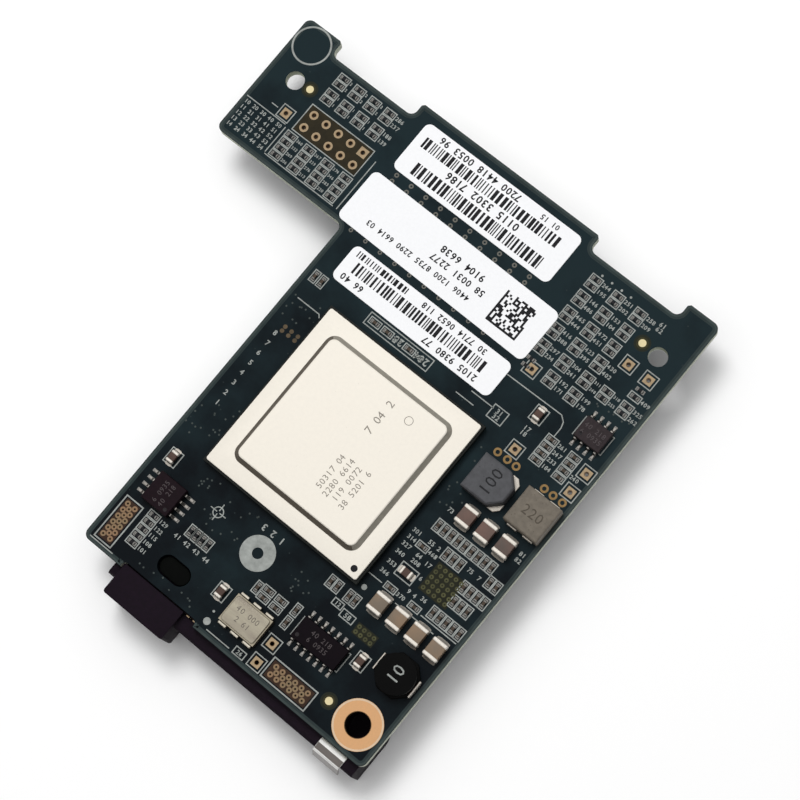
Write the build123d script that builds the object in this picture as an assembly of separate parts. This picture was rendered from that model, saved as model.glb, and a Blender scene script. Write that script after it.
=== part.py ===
from build123d import *
import os

os.makedirs("parts", exist_ok=True)

# A plug-in adapter card for a blade server. A tabbed circuit board carries a lidded controller,
# power parts and small chips on its top face, and a stacking connector under its bottom edge.
# All sizes are millimetres. Card coordinates run X from the left edge of the main board and
# Y up from its bottom edge. The part stands on the mating face of the connector, at Z = 0.

# Layout of the board: a lower zone, the controller and an upper zone, with a bar on the right
controller_margin = 7.4
package_side = 31.0
bar_width = 18.1
lower_zone = 20.65
upper_zone = 34.35
board_thickness = 1.6
board_corner = 1.2
tab_reach = 26.5
tab_height = 23.2

# Notches in the top edge
notch_depth = 2.7
notch_mouth_cut = 0.4
left_notch_inset = 7.0
left_notch_width = 16.9
right_notch_inset = 6.1
right_notch_width = 17.4

# Mounting holes near the top edge, and the screw hole in its copper pad
top_hole_radius = 1.55
top_hole_inset = 5.1
top_hole_drop = 9.5
screw_hole_radius = 2.05
screw_inset = 4.66
screw_rise = 4.7
screw_pad_radius = 4.0
screw_pad_thickness = 0.1

# Plated holes: a two-row header pattern and the square test points
header_pitch = 2.54
header_columns = 5
header_rows = 2
header_right = 5.05
header_drop = 12.13
plated_hole_radius = 0.42
plated_hole_sides = 8

# Controller package
package_gap = 0.45
substrate_thickness = 1.1
lid_inset = 0.4
lid_corner = 0.4
lid_sheet = 0.6
lid_rise = 0.85
island_side = 24.8
island_corner = 1.8
island_slope = 45
die_side = 11.0
ball_pitch = 1.27
ball_width = 0.7
balls_per_side = 23

# Stacking connector
connector_height = 8.0
connector_front = 2.0
connector_wall = 1.6
connector_roof = 1.2
connector_edge = 0.4
connector_end = 6.6
cavity_setback = 0.6
cavity_width = 6.4
cavity_lead_in = 0.5
contact_pitch = 1.27
contact_count = 26
contact_width = 0.6
contact_sheet = 0.25
contact_bow = 0.4
contact_recess = 1.6
contact_end_room = 0.7
contact_side_gap = 0.05
boss_radius = 3.9
boss_gap = 0.5
boss_hole_radius = 2.4
boss_hole_depth = 6.0
tongue_offset = 1.6
tongue_width = 12.0
tongue_reach = 4.6
tongue_foot = 2.5
tongue_corner = 0.5
lip_depth = 0.85
lip_drop = 0.4
recess_gap = 0.25
recess_corner = 0.8
recess_tail = 2.6
peg_offset = 8.4
peg_length = 5.4
peg_width = 2.9
peg_rise = 4.75
peg_drop = 0.6
peg_gap = 0.25

# Spring clip on the connector
clip_sheet = 0.3
clip_width = 5.0
clip_offset = 0.75
clip_bend = 0.45
clip_slot_setback = 0.2
clip_slot_depth = 1.6
clip_slot_gap = 0.05
clip_front_gap = 0.15
clip_leg_drop = 3.2
clip_leg_flare = 0.75

# Gull-wing leads, shared by the three small packages
lead_pitch = 1.27
lead_width = 0.42
lead_sheet = 0.2
lead_shoulder = 0.25
lead_foot = 0.6
body_standoff = 0.15
body_draft = 7
narrow_body = 3.9
narrow_span = 6.0
narrow_height = 1.5
wide_body = 5.3
wide_span = 8.0
wide_height = 1.8
eight_pin_length = 4.9
wide_eight_length = 5.3
fourteen_pin_length = 8.65
logic_x = 39.7
logic_y = 10.4
flash_x = 6.2
flash_y = 12.8
regulator_bar_x = 13.4
regulator_rise = 9.2

# Oscillator can
oscillator_x = 28.6
oscillator_y = 6.0
oscillator_length = 7.0
oscillator_width = 5.0
oscillator_base_height = 1.1
oscillator_lid_inset = 0.25
oscillator_lid_height = 0.4
oscillator_corner = 0.5
oscillator_pad_pitch = 2.45
oscillator_pads_per_side = 3
oscillator_pad_width = 1.6
oscillator_pad_reach = 0.5
oscillator_pad_height = 1.0

# Inductors on the bar
cut_inductor_x = 6.2
cut_inductor_rise = 24.75
cut_inductor_length = 6.9
cut_inductor_width = 6.4
cut_inductor_height = 3.0
cut_inductor_chamfer = 1.9
cut_inductor_corner = 0.8
cut_inductor_edge = 0.3
cut_terminal_height = 0.6
cut_terminal_depth = 1.1
square_inductor_x = 14.2
square_inductor_rise = 24.85
square_inductor_side = 6.4
square_inductor_height = 3.0
square_inductor_edge = 0.25
strip_terminal_width = 1.8
strip_terminal_sheet = 0.25
strip_terminal_height = 1.3
strip_terminal_offset = 1.5
drum_x = 13.45
drum_y = 14.1
drum_radius = 3.2
drum_base_side = 6.6
drum_base_cut = 1.8
drum_base_height = 0.7
drum_top_height = 0.8
drum_height = 2.9
drum_post_radius = 1.7
winding_inset = 0.4
drum_clip_width = 3.0
drum_clip_sheet = 0.25
drum_clip_height = 1.6

# Ceramic capacitors
bulk_length = 3.2
bulk_width = 2.5
bulk_height = 1.9
bulk_end = 0.6
bulk_end_lip = 0.05
bulk_pitch = 3.67
upper_bulk_x = 6.45
upper_bulk_rise = 18.5
upper_bulk_count = 3
lower_bulk_x = 4.5
lower_bulk_count = 4
small_length = 2.0
small_width = 1.25
small_height = 1.0
small_end = 0.45
small_end_lip = 0.03

# Chip resistors and chip capacitors
chip_length = 1.0
chip_width = 0.5
chip_height = 0.35
chip_row_pitch = 1.3
chip_pair_step = 3.18
header_chip_inset = 5.1
header_chip_pitch = 3.16
header_chip_drop = 9.0
tab_chip_gap = 2.33
tab_chip_pitch = 3.8
tab_chip_drop = 7.5
bar_chip_inset = 1.55
bar_chip_pitch = 4.33
bar_chip_rise = 11.4
bar_pair_count = 6

# Paper labels, each by its left or right end and the height of its middle above the controller
label_thickness = 0.12
label_corner = 1.1
label_gap = 0.35
upper_label_size = (31.3, 9.2)
upper_label_left = 0.0
upper_label_rise = 27.9
middle_label_size = (37.7, 9.5)
middle_label_rise = 16.35
middle_label_turn = -0.6
lower_label_size = (31.6, 6.5)
lower_label_left = 3.8
lower_label_rise = 6.95

# Places that follow from the layout
board_width = controller_margin + package_side + bar_width
board_height = lower_zone + package_side + upper_zone
bar_left = controller_margin + package_side
upper_base = lower_zone + package_side
tab_base = board_height - tab_height
controller_x = controller_margin + package_side / 2
controller_y = lower_zone + package_side / 2
screw_x = board_width - screw_inset
screw_y = screw_rise
clip_x = screw_x - clip_offset
board_bottom = connector_height
board_top = connector_height + board_thickness
origin_x = (board_width - tab_reach) / 2
origin_y = (board_height - tongue_reach) / 2
cavity_length = contact_count * contact_pitch + 2 * contact_end_room
cavity_right = screw_x - boss_radius - boss_gap
cavity_left = cavity_right - cavity_length
connector_left = cavity_left - connector_end
connector_back = cavity_setback + cavity_width + connector_wall
tongue_left = connector_left + tongue_offset
tongue_right = tongue_left + tongue_width
peg_x = connector_left + peg_offset
header_x = -header_right - (header_columns - 1) * header_pitch / 2
header_y = board_height - header_drop - (header_rows - 1) * header_pitch / 2
bar_chip_x = bar_left - bar_chip_inset
middle_label_left = bar_chip_x - chip_length / 2 - label_gap - middle_label_size[0]
tab_chip_x = middle_label_left - tab_chip_gap - chip_length / 2

test_points = [
    (header_x - 8.9, header_y - 1.2),
    (bar_left + 10.7, upper_base + 21.15),
    (bar_left + 14.6, upper_base + 21.1),
    (bar_left - 0.5, upper_base + 11.5),
    (bar_left + 5.4, upper_base + 0.2),
    (bar_left + 16.3, upper_base + 3.95),
    (bar_left + 16.1, upper_base + 0.2),
    (33.9, 5.8),
    (33.9, 2.15),
]


def at(x, y, z=0.0):
    """Location of a point given in card coordinates, with Z from the standing face."""
    return Pos(x - origin_x, y - origin_y, z)


def block(left, right, front, back, low, high):
    """Box between two X, two Y and two Z values in card coordinates."""
    box = Box(right - left, back - front, high - low, align=(Align.MIN, Align.MIN, Align.MIN))
    return at(left, front, low) * box


def upright(sketch, low, high, taper=0.0):
    """Sketch drawn in card coordinates, raised from one height to another."""
    return at(0, 0, low) * extrude(sketch, amount=high - low, taper=taper)


def emit(name, *solids):
    """Write one node, a single solid or a group of separate ones."""
    whole = solids[0] if len(solids) == 1 else Compound(children=list(solids))
    export_step(whole, os.path.join("parts", name + ".step"))


def spread(count, pitch):
    """Evenly spaced offsets about zero."""
    return [(i - (count - 1) / 2) * pitch for i in range(count)]


def span_rectangle(left, right, front, back):
    """Rectangle sketch between card coordinates."""
    return Pos((left + right) / 2, (front + back) / 2) * Rectangle(right - left, back - front)


def board_outline():
    """Main board with its tab, rounded corners and the two notches in the top edge."""
    body = span_rectangle(0, board_width, 0, board_height)
    tab = span_rectangle(-tab_reach, board_corner, tab_base, board_height)
    outline = fillet((body + tab).vertices(), board_corner)
    floor = board_height - notch_depth
    left_start = left_notch_inset - tab_reach
    right_end = board_width - right_notch_inset
    spans = [(left_start, left_start + left_notch_width), (right_end - right_notch_width, right_end)]
    for start, end in spans:
        notch = span_rectangle(start, end, floor, board_height + notch_depth)
        outline -= fillet(notch.vertices(), board_corner)
    mouth = outline.vertices().filter_by(lambda v: abs(v.Y - board_height) < 1e-6)
    ends = [x for span in spans for x in span]
    corners = [v for v in mouth if min(abs(v.X - x) for x in ends) < 1e-6]
    return chamfer(corners, notch_mouth_cut)


def board_cutouts():
    """Every hole through the board, and the recess that clears the connector's lip."""
    top_y = board_height - top_hole_drop
    cuts = [Pos(x, top_y) * Circle(top_hole_radius) for x in (top_hole_inset - tab_reach, screw_x)]
    cuts.append(Pos(screw_x, screw_y) * Circle(screw_hole_radius))
    slot = SlotOverall(peg_length + 2 * peg_gap, peg_width + 2 * peg_gap)
    cuts.append(Pos(peg_x, peg_rise) * slot)
    plated = RegularPolygon(plated_hole_radius, plated_hole_sides)
    for column in spread(header_columns, header_pitch):
        for row in spread(header_rows, header_pitch):
            cuts.append(Pos(header_x + column, header_y + row) * plated)
    cuts += [Pos(x, y) * plated for x, y in test_points]
    deep = lip_depth + recess_gap
    recess = span_rectangle(tongue_left - recess_gap, tongue_right + recess_tail, -deep, deep)
    cuts.append(fillet(recess.vertices(), recess_corner))
    return cuts


def circuit_board():
    """The board as one sheet of laminate."""
    sheet = board_outline()
    for cut in board_cutouts():
        sheet -= cut
    return upright(sheet, board_bottom, board_top)


def screw_pad():
    """Copper ring around the screw hole."""
    ring = Pos(screw_x, screw_y) * (Circle(screw_pad_radius) - Circle(screw_hole_radius))
    return upright(ring, board_top, board_top + screw_pad_thickness)


def controller_parts():
    """Ball ring, substrate, die and the stamped lid with its raised island."""
    centre = Pos(controller_x, controller_y)
    seat = board_top + package_gap
    deck = seat + substrate_thickness
    substrate = upright(centre * Rectangle(package_side, package_side), seat, deck)
    ball = RegularPolygon(ball_width / 2, 6)
    edge = (balls_per_side - 1) * ball_pitch / 2
    places = []
    for offset in spread(balls_per_side, ball_pitch):
        places += [(offset, edge), (offset, -edge)]
        if abs(offset) < edge - ball_pitch / 2:
            places += [(edge, offset), (-edge, offset)]
    post = upright(centre * ball, board_top, seat)
    balls = [Pos(x, y) * post for x, y in places]
    lid_side = package_side - 2 * lid_inset
    flange = centre * RectangleRounded(lid_side, lid_side, lid_corner)
    island = centre * RectangleRounded(island_side, island_side, island_corner)
    pocket_side = island_side - lid_sheet * 1.5
    pocket = centre * Rectangle(pocket_side, pocket_side)
    lid = upright(flange, deck, deck + lid_sheet)
    lid += upright(island, deck + lid_sheet, deck + lid_sheet + lid_rise, island_slope)
    lid -= upright(pocket, deck, deck + lid_rise, island_slope)
    die = upright(centre * Rectangle(die_side, die_side), deck, deck + lid_rise)
    emit("controller_substrate", substrate)
    emit("controller_balls", *balls)
    emit("controller_lid", lid)
    emit("controller_die", die)


def connector_housing():
    """Moulded housing: shroud and screw boss, keyed tongue with its lip, and the locating peg."""
    boss = Pos(screw_x, screw_y)
    plan = span_rectangle(connector_left, screw_x, -connector_front, connector_back)
    plan += span_rectangle(screw_x, screw_x + boss_radius, -connector_front, screw_y)
    plan += boss * Circle(boss_radius)
    shell = upright(plan, 0, connector_height)
    front_top = shell.edges().filter_by(Axis.X).sort_by(lambda e: (e.center().Z, -e.center().Y))[-1]
    shell = chamfer(front_top, connector_edge)
    shell -= upright(boss * Circle(boss_hole_radius), connector_height - boss_hole_depth, connector_height)
    back_wall = cavity_setback + cavity_width
    slit = contact_sheet + contact_side_gap
    ceiling = connector_height - connector_roof
    cavity = block(cavity_left, cavity_right, cavity_setback, back_wall, 0, ceiling)
    mouth = span_rectangle(
        cavity_left - cavity_lead_in, cavity_right + cavity_lead_in,
        cavity_setback - cavity_lead_in, back_wall + cavity_lead_in,
    )
    shell -= cavity + upright(mouth, 0, cavity_lead_in, 45)
    for front in (cavity_setback, back_wall - slit):
        shell -= block(cavity_left, cavity_right, front, front + slit, 0, connector_height)
    half = clip_width / 2 + clip_slot_gap
    reach = clip_sheet / 2 + clip_slot_gap
    for front, depth in ((reach, clip_slot_depth), (reach + clip_bend, clip_bend)):
        shell -= block(
            clip_x - half, clip_x + half, -clip_slot_setback - front, -clip_slot_setback + reach,
            connector_height - depth, connector_height,
        )
    lip_top = board_top - lip_drop
    tongue_plan = span_rectangle(tongue_left, tongue_right, -tongue_reach, 0)
    tongue_plan = fillet(tongue_plan.vertices().sort_by(Axis.Y)[:2], tongue_corner)
    tongue = upright(tongue_plan, tongue_foot, lip_top)
    lip = block(tongue_left, tongue_right, 0, lip_depth, board_bottom, lip_top)
    peg = Pos(peg_x, peg_rise) * SlotOverall(peg_length, peg_width)
    return shell + tongue + lip + upright(peg, board_bottom, board_top - peg_drop)


def connector_contacts():
    """Two facing rows of bowed spring contacts, soldered to the underside of the board."""
    tip = contact_recess
    middle = (tip + connector_height) / 2 - contact_sheet
    wall_side = [
        (0, connector_height),
        (0, middle),
        (contact_bow, (tip + middle) / 2),
        (contact_bow / 2, tip),
    ]
    free_side = [(y + contact_sheet, z) for y, z in reversed(wall_side)]
    profile = Plane.YZ * Polygon(*wall_side, *free_side, align=None)
    beam = extrude(profile, amount=contact_width / 2, both=True)
    back = cavity_setback + cavity_width
    row_x = (cavity_left + cavity_right) / 2
    contacts = []
    for offset in spread(contact_count, contact_pitch):
        contacts.append(at(row_x + offset, cavity_setback) * beam)
        contacts.append(at(row_x + offset, back) * Rot(0, 0, 180) * beam)
    return contacts


def connector_clip():
    """Bent strip that hooks into the housing and reaches down its front face."""
    top = connector_height + clip_sheet / 2
    front = -connector_front - clip_front_gap - clip_sheet / 2
    path = FilletPolyline(
        (-clip_slot_setback, connector_height - clip_slot_depth),
        (-clip_slot_setback, top),
        (front, top),
        (front - clip_leg_flare, top - clip_leg_drop),
        radius=clip_bend,
    )
    strip = extrude(Plane.YZ * trace(path, clip_sheet), amount=clip_width / 2, both=True)
    return at(clip_x, 0) * strip


def gull_package(name, x, y, turn, length, width, span, height, leads_per_side):
    """Moulded body with drafted sides and a row of gull-wing leads on each long side."""
    parting = body_standoff + (height - body_standoff) / 2
    plan = Rectangle(length, width)
    body = extrude(plan, amount=height - parting, taper=body_draft)
    body += extrude(plan, amount=body_standoff - parting, taper=body_draft)
    shoulder = width / 2 + lead_shoulder
    over = [
        (width / 2, parting + lead_sheet / 2),
        (shoulder, parting + lead_sheet / 2),
        (span / 2 - lead_foot, lead_sheet),
        (span / 2, lead_sheet),
    ]
    under = [(u, z - lead_sheet) for u, z in reversed(over)]
    lead = extrude(Plane.YZ * Polygon(*over, *under, align=None), amount=lead_width / 2, both=True)
    place = at(x, y, board_top) * Rot(0, 0, turn)
    leads = []
    for offset in spread(leads_per_side, lead_pitch):
        leads.append(place * Pos(offset, 0) * lead)
        leads.append(place * Rot(0, 0, 180) * Pos(offset, 0) * lead)
    emit(name + "_body", place * Pos(0, 0, parting) * body)
    emit(name + "_leads", *leads)


def oscillator_parts():
    """Ceramic base with solder lands along its long sides, under a metal lid."""
    deck = board_top + oscillator_base_height
    centre = Pos(oscillator_x, oscillator_y)
    base = upright(centre * Rectangle(oscillator_length, oscillator_width), board_top, deck)
    lid_plan = RectangleRounded(
        oscillator_length - 2 * oscillator_lid_inset,
        oscillator_width - 2 * oscillator_lid_inset,
        oscillator_corner,
    )
    lid = upright(centre * lid_plan, deck, deck + oscillator_lid_height)
    edge = oscillator_width / 2
    pads = []
    for offset in spread(oscillator_pads_per_side, oscillator_pad_pitch):
        left = oscillator_x + offset - oscillator_pad_width / 2
        for side in (oscillator_y + edge, oscillator_y - edge - oscillator_pad_reach):
            pads.append(block(
                left, left + oscillator_pad_width, side, side + oscillator_pad_reach,
                board_top, board_top + oscillator_pad_height,
            ))
    emit("oscillator_base", base)
    emit("oscillator_lid", lid)
    emit("oscillator_lands", *pads)


def cut_corner_inductor():
    """Shielded inductor with two cut corners, where its terminals stand."""
    place = Pos(bar_left + cut_inductor_x, lower_zone + cut_inductor_rise)
    plan = Rectangle(cut_inductor_length, cut_inductor_width)
    right = plan.vertices().sort_by(Axis.X)[2:]
    plan = chamfer(right, cut_inductor_chamfer)
    plan = fillet(plan.vertices().sort_by(Axis.X)[2:], cut_inductor_corner)
    body = upright(place * plan, board_top, board_top + cut_inductor_height)
    body = chamfer(body.faces().sort_by(Axis.Z)[-1].edges(), cut_inductor_edge)
    half_x, half_y = cut_inductor_length / 2, cut_inductor_width / 2
    inner, outer = cut_inductor_chamfer, cut_inductor_chamfer - cut_terminal_depth
    band = Polygon(
        (half_x, half_y - inner),
        (half_x, half_y - outer),
        (half_x - outer, half_y),
        (half_x - inner, half_y),
        align=None,
    )
    terminals = []
    for plan in (band, mirror(band, about=Plane.XZ)):
        terminals.append(upright(place * plan, board_top, board_top + cut_terminal_height))
    emit("cut_corner_inductor_body", body)
    emit("cut_corner_inductor_terminals", *terminals)


def square_inductor():
    """Moulded square inductor with strip terminals on two sides."""
    x, y = bar_left + square_inductor_x, lower_zone + square_inductor_rise
    half = square_inductor_side / 2
    body = block(x - half, x + half, y - half, y + half, board_top, board_top + square_inductor_height)
    body = chamfer(body.faces().sort_by(Axis.Z)[-1].edges(), square_inductor_edge)
    strips = []
    for offset in (-strip_terminal_offset, strip_terminal_offset):
        left = x + offset - strip_terminal_width / 2
        for front in (y + half, y - half - strip_terminal_sheet):
            strips.append(block(
                left, left + strip_terminal_width, front, front + strip_terminal_sheet,
                board_top, board_top + strip_terminal_height,
            ))
    emit("square_inductor_body", body)
    emit("square_inductor_terminals", *strips)


def drum_inductor():
    """Open inductor: a drum core on a cut-corner base, its winding and two clip terminals."""
    place = Pos(bar_left + drum_x, drum_y)
    base_plan = chamfer(Rectangle(drum_base_side, drum_base_side).vertices(), drum_base_cut)
    base_top = board_top + drum_base_height
    top = board_top + drum_height
    winding_top = top - drum_top_height
    core = upright(place * base_plan, board_top, base_top)
    core += upright(place * Circle(drum_post_radius), base_top, winding_top)
    core += upright(place * Circle(drum_radius), winding_top, top)
    coil = Circle(drum_radius - winding_inset) - Circle(drum_post_radius)
    edge = bar_left + drum_x + drum_base_side / 2
    far = bar_left + drum_x - drum_base_side / 2 - drum_clip_sheet
    half = drum_clip_width / 2
    clips = [
        block(
            left, left + drum_clip_sheet, drum_y - half, drum_y + half,
            board_top, board_top + drum_clip_height,
        )
        for left in (edge, far)
    ]
    emit("drum_inductor_core", core)
    emit("drum_inductor_winding", upright(place * coil, base_top, winding_top))
    emit("drum_inductor_terminals", *clips)


def ceramic_capacitor(x, y, length, width, height, end, lip, along_y=True):
    """Body and the two metal end caps of a ceramic capacitor."""
    place = at(x, y, board_top) * Rot(0, 0, 90 if along_y else 0)
    low = (Align.CENTER, Align.CENTER, Align.MIN)
    body = place * Pos(0, 0, lip) * Box(length - 2 * end, width, height - 2 * lip, align=low)
    cap = Box(end, width + 2 * lip, height, align=low)
    ends = [place * Pos(side * (length - end) / 2, 0) * cap for side in (-1, 1)]
    return body, ends


def capacitors():
    """Large blocks beside the inductors, and the smaller ones around the board."""
    bulk = (bulk_length, bulk_width, bulk_height, bulk_end, bulk_end_lip)
    small = (small_length, small_width, small_height, small_end, small_end_lip)
    upper_y = lower_zone + upper_bulk_rise
    upper = [(bar_left + upper_bulk_x + i * bulk_pitch, upper_y) for i in range(upper_bulk_count)]
    lower = [(bar_left + lower_bulk_x + i * bulk_pitch, lower_zone) for i in range(lower_bulk_count)]
    scattered = [
        (3.2, 18.0),
        (22.7, 6.9),
        (bar_left + 7.7, 12.2),
        (bar_left + 4.9, upper_base + 6.6),
    ]
    ends = []
    for name, places in (("upper_bulk_capacitors", upper), ("lower_bulk_capacitors", lower)):
        made = [ceramic_capacitor(x, y, *bulk) for x, y in places]
        emit(name, *[body for body, caps in made])
        ends += [cap for body, caps in made for cap in caps]
    emit("bulk_capacitor_ends", *ends)
    made = [ceramic_capacitor(x, y, *small) for x, y in scattered]
    made.append(ceramic_capacitor(bar_left + 4.6, lower_zone + 6.2, *small, along_y=False))
    emit("small_capacitors", *[body for body, caps in made])
    emit("small_capacitor_ends", *[cap for body, caps in made for cap in caps])


def chip_grid(columns, rows, along_y=False):
    """Chip places at each crossing of the given columns and rows."""
    return [(x, y, along_y) for x in columns for y in rows]


def chip_row(left, count, y):
    """Upright chips side by side, from the leftmost one."""
    return chip_grid([left + i * chip_row_pitch for i in range(count)], [y], along_y=True)


def pair_rows(lowest, pairs):
    """Heights of rows of chips that stand in close pairs."""
    return [lowest + i * chip_pair_step + j * chip_row_pitch for i in range(pairs) for j in (0, 1)]


def resistor_places():
    """Chip resistors: the blocks around the header, the bar's upper grid and the lower left."""
    above_header = [header_x - header_chip_inset + i * header_chip_pitch for i in range(4)]
    below_header = [tab_chip_x - i * tab_chip_pitch for i in range(4)]
    bar = [bar_chip_x + i * bar_chip_pitch for i in range(3)]
    bar_rows = pair_rows(upper_base + bar_chip_rise, bar_pair_count)
    places = chip_grid(above_header, pair_rows(board_height - header_chip_drop, 2))
    places += chip_grid(below_header, [header_y - tab_chip_drop + i * chip_row_pitch for i in range(4)])
    places += chip_grid(bar, bar_rows)
    places += chip_grid([bar_left + 14.6], bar_rows[2:6])
    places += chip_grid([bar_left + 10.8], bar_rows[2:4])
    places += chip_grid([6.8], [4.0 + i * chip_row_pitch for i in range(5)])
    places += chip_grid([12.9, 14.05, 15.2, 16.4], [11.0], along_y=True)
    return places


def decoupler_places():
    """Chip capacitors: the rows beside and below the controller."""
    row_y = lower_zone + 14.85
    places = chip_row(bar_left + 3.7, 9, row_y)
    places += chip_row(bar_left + 7.5, 3, lower_zone + 12.2)
    places += chip_row(bar_left + 15.3, 2, lower_zone + 12.95)
    places += chip_row(bar_left + 12.7, 4, lower_zone + 9.95)
    places += chip_row(bar_left + 12.9, 3, lower_zone + 7.35)
    places += chip_row(bar_left + 11.5, 5, lower_zone + 4.1)
    places += chip_grid([bar_left + 4.1, bar_left + 8.8], [lower_zone + 2.95])
    places += chip_grid([bar_left + 3.9], [lower_zone + 10.85])
    stack = [upper_base + 0.9 + i * chip_row_pitch for i in range(4)]
    places += chip_grid([bar_left + 8.9, bar_left + 13.3], stack)
    places += chip_grid([34.8, 36.1, 38.4, 39.6], [18.7], along_y=True)
    places += chip_grid([28.3, 30.8], [11.6, 10.2])
    places += chip_grid([33.5], [12.0, 9.6], along_y=True)
    places += chip_grid([26.6], [10.9], along_y=True)
    places += chip_grid([1.95, 3.4], [upper_base + 2.1], along_y=True)
    places += chip_grid([14.2, 16.7, 21.1], [upper_base + 2.2])
    return places


def chips(places):
    """One small block for each place."""
    chip = Box(chip_length, chip_width, chip_height, align=(Align.CENTER, Align.CENTER, Align.MIN))
    return [at(x, y, board_top) * Rot(0, 0, 90 if along_y else 0) * chip for x, y, along_y in places]


def label(left, rise, size, turn=0.0):
    """Thin sticker with rounded corners, from its left end, turned about its middle."""
    plan = Rot(0, 0, turn) * RectangleRounded(*size, label_corner)
    plan = Pos(left + size[0] / 2, upper_base + rise) * plan
    return upright(plan, board_top, board_top + label_thickness)


emit("circuit_board", circuit_board())
emit("screw_pad", screw_pad())
controller_parts()
emit("connector_housing", connector_housing())
emit("connector_contacts", *connector_contacts())
emit("connector_clip", connector_clip())
gull_package(
    "logic_chip", logic_x, logic_y, 0,
    fourteen_pin_length, narrow_body, narrow_span, narrow_height, 7,
)
gull_package("flash_chip", flash_x, flash_y, 90, wide_eight_length, wide_body, wide_span, wide_height, 4)
gull_package(
    "regulator_chip", bar_left + regulator_bar_x, upper_base + regulator_rise, 0,
    eight_pin_length, narrow_body, narrow_span, narrow_height, 4,
)
oscillator_parts()
cut_corner_inductor()
square_inductor()
drum_inductor()
capacitors()
emit("chip_resistors", *chips(resistor_places()))
emit("chip_capacitors", *chips(decoupler_places()))
emit("upper_label", label(upper_label_left, upper_label_rise, upper_label_size))
emit("middle_label", label(middle_label_left, middle_label_rise, middle_label_size, middle_label_turn))
emit("lower_label", label(lower_label_left, lower_label_rise, lower_label_size))
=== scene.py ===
"""Looks of a plug-in server adapter card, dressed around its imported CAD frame."""

import math
import random
from typing import NamedTuple

import bmesh
import bpy
from bpy.props import FloatProperty, FloatVectorProperty, PointerProperty
from bpy.types import Operator, Panel, PropertyGroup
from mathutils import Matrix, Quaternion, Vector


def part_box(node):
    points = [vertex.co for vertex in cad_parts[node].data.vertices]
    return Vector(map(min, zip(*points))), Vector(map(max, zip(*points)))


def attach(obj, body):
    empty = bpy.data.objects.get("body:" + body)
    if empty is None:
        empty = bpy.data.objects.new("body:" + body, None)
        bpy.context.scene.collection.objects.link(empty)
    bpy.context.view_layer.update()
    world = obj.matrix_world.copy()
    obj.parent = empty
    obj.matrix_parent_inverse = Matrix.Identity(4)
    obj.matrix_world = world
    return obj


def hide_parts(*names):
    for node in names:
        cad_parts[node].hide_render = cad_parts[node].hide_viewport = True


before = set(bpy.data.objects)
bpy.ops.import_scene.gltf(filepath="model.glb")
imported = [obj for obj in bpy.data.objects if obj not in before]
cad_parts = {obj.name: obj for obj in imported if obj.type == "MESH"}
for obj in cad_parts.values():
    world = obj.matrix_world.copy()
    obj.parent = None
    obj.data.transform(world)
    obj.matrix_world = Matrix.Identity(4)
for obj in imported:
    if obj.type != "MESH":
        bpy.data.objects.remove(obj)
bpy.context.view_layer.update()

bl_info = {
    "name": "Adapter Card Finishes",
    "version": (1, 0, 0),
    "blender": (4, 5, 0),
    "location": "View3D > Sidebar > Adapter Card",
    "description": "Dresses a plug-in server adapter card around its packed frame",
    "category": "Object",
}

# Card millimetres run X from the main board's left edge, Y up from its bottom edge, Z from its top face
MM = 0.001
WELD = 1e-6
SHARP = math.radians(28)
TAB_REACH = 26.5
BOARD_LOW, BOARD_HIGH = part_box("circuit_board")
CARD_ORIGIN = Vector((BOARD_LOW.x + TAB_REACH * MM, BOARD_LOW.y, BOARD_HIGH.z))
BOARD_THICKNESS = (BOARD_HIGH.z - BOARD_LOW.z) / MM

# Places on the board
HEADER_PITCH = 2.54
HEADER = [(-15.21 + i * HEADER_PITCH, y) for i in range(5) for y in (71.33, 73.87)]
TEST_POINTS = [
    (-19.03, 71.4), (49.1, 72.8), (53.0, 72.75), (37.9, 63.15), (43.8, 51.85),
    (54.7, 55.6), (54.5, 51.85), (33.9, 5.8), (33.9, 2.15),
]
FIDUCIALS = [(-18.53, 76.8), (48.64, 76.74), (46.17, 4.68)]
PEG_OFFSET, PEG_RISE, PEG_REACH = 8.4, 4.75, 4.0
# Region along the connector's notch where the pale rim is painted with the mask's colour, as painted shade
NOTCH = (5.0, 25.0, 0.85, 3.0)
PACKAGES = ("logic_chip", "flash_chip", "regulator_chip")

# Heights of the thin layers on the board and on the parts
MASK_LAYER = 0.006
FIELD_LAYER = 0.008
PRINT_LAYER = 0.004
PRINT_ROOM = 0.012
INK_WEIGHT = 0.022
LABEL_WEIGHT = 0.024
NUMERAL_STEP = 0.8

# Studio, in metres, with the share of light that lifts the floor to white
FLOOR_HALF = 2.0
FLOOR_LIFT = 0.025
PANEL_SIZE, PANEL_DISTANCE = 0.35, 0.9

MATERIALS = {}
NUMERALS = {}


def card_point(x, y, z=0.0):
    """World position of a point given in card millimetres."""
    return CARD_ORIGIN + Vector((x, y, z)) * MM


def on_card(point):
    """Card millimetres of a world position."""
    return (point - CARD_ORIGIN) / MM


def card_box(node):
    """Lowest and highest corner of a CAD node, in card millimetres."""
    low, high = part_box(node)
    return on_card(low), on_card(high)


def card_middle(node):
    """Middle of a CAD node, in card millimetres."""
    low, high = card_box(node)
    return (low + high) / 2


def in_slot(spot):
    """Whether a card point lies in the slot of the connector's peg."""
    peg = Vector((card_box("connector_housing")[0].x + PEG_OFFSET, PEG_RISE))
    return (spot.xy - peg).length < PEG_REACH


def along(turn):
    """Unit step in a direction given in degrees."""
    return Matrix.Rotation(math.radians(turn), 2) @ Vector((1, 0))


def welded(node):
    """A CAD node's mesh with its split corners joined and its flat facets merged."""
    mesh = bmesh.new()
    mesh.from_mesh(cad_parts[node].data)
    bmesh.ops.remove_doubles(mesh, verts=mesh.verts, dist=WELD)
    bmesh.ops.dissolve_limit(mesh, angle_limit=math.radians(1), verts=mesh.verts, edges=mesh.edges)
    mesh.normal_update()
    return mesh


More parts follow.
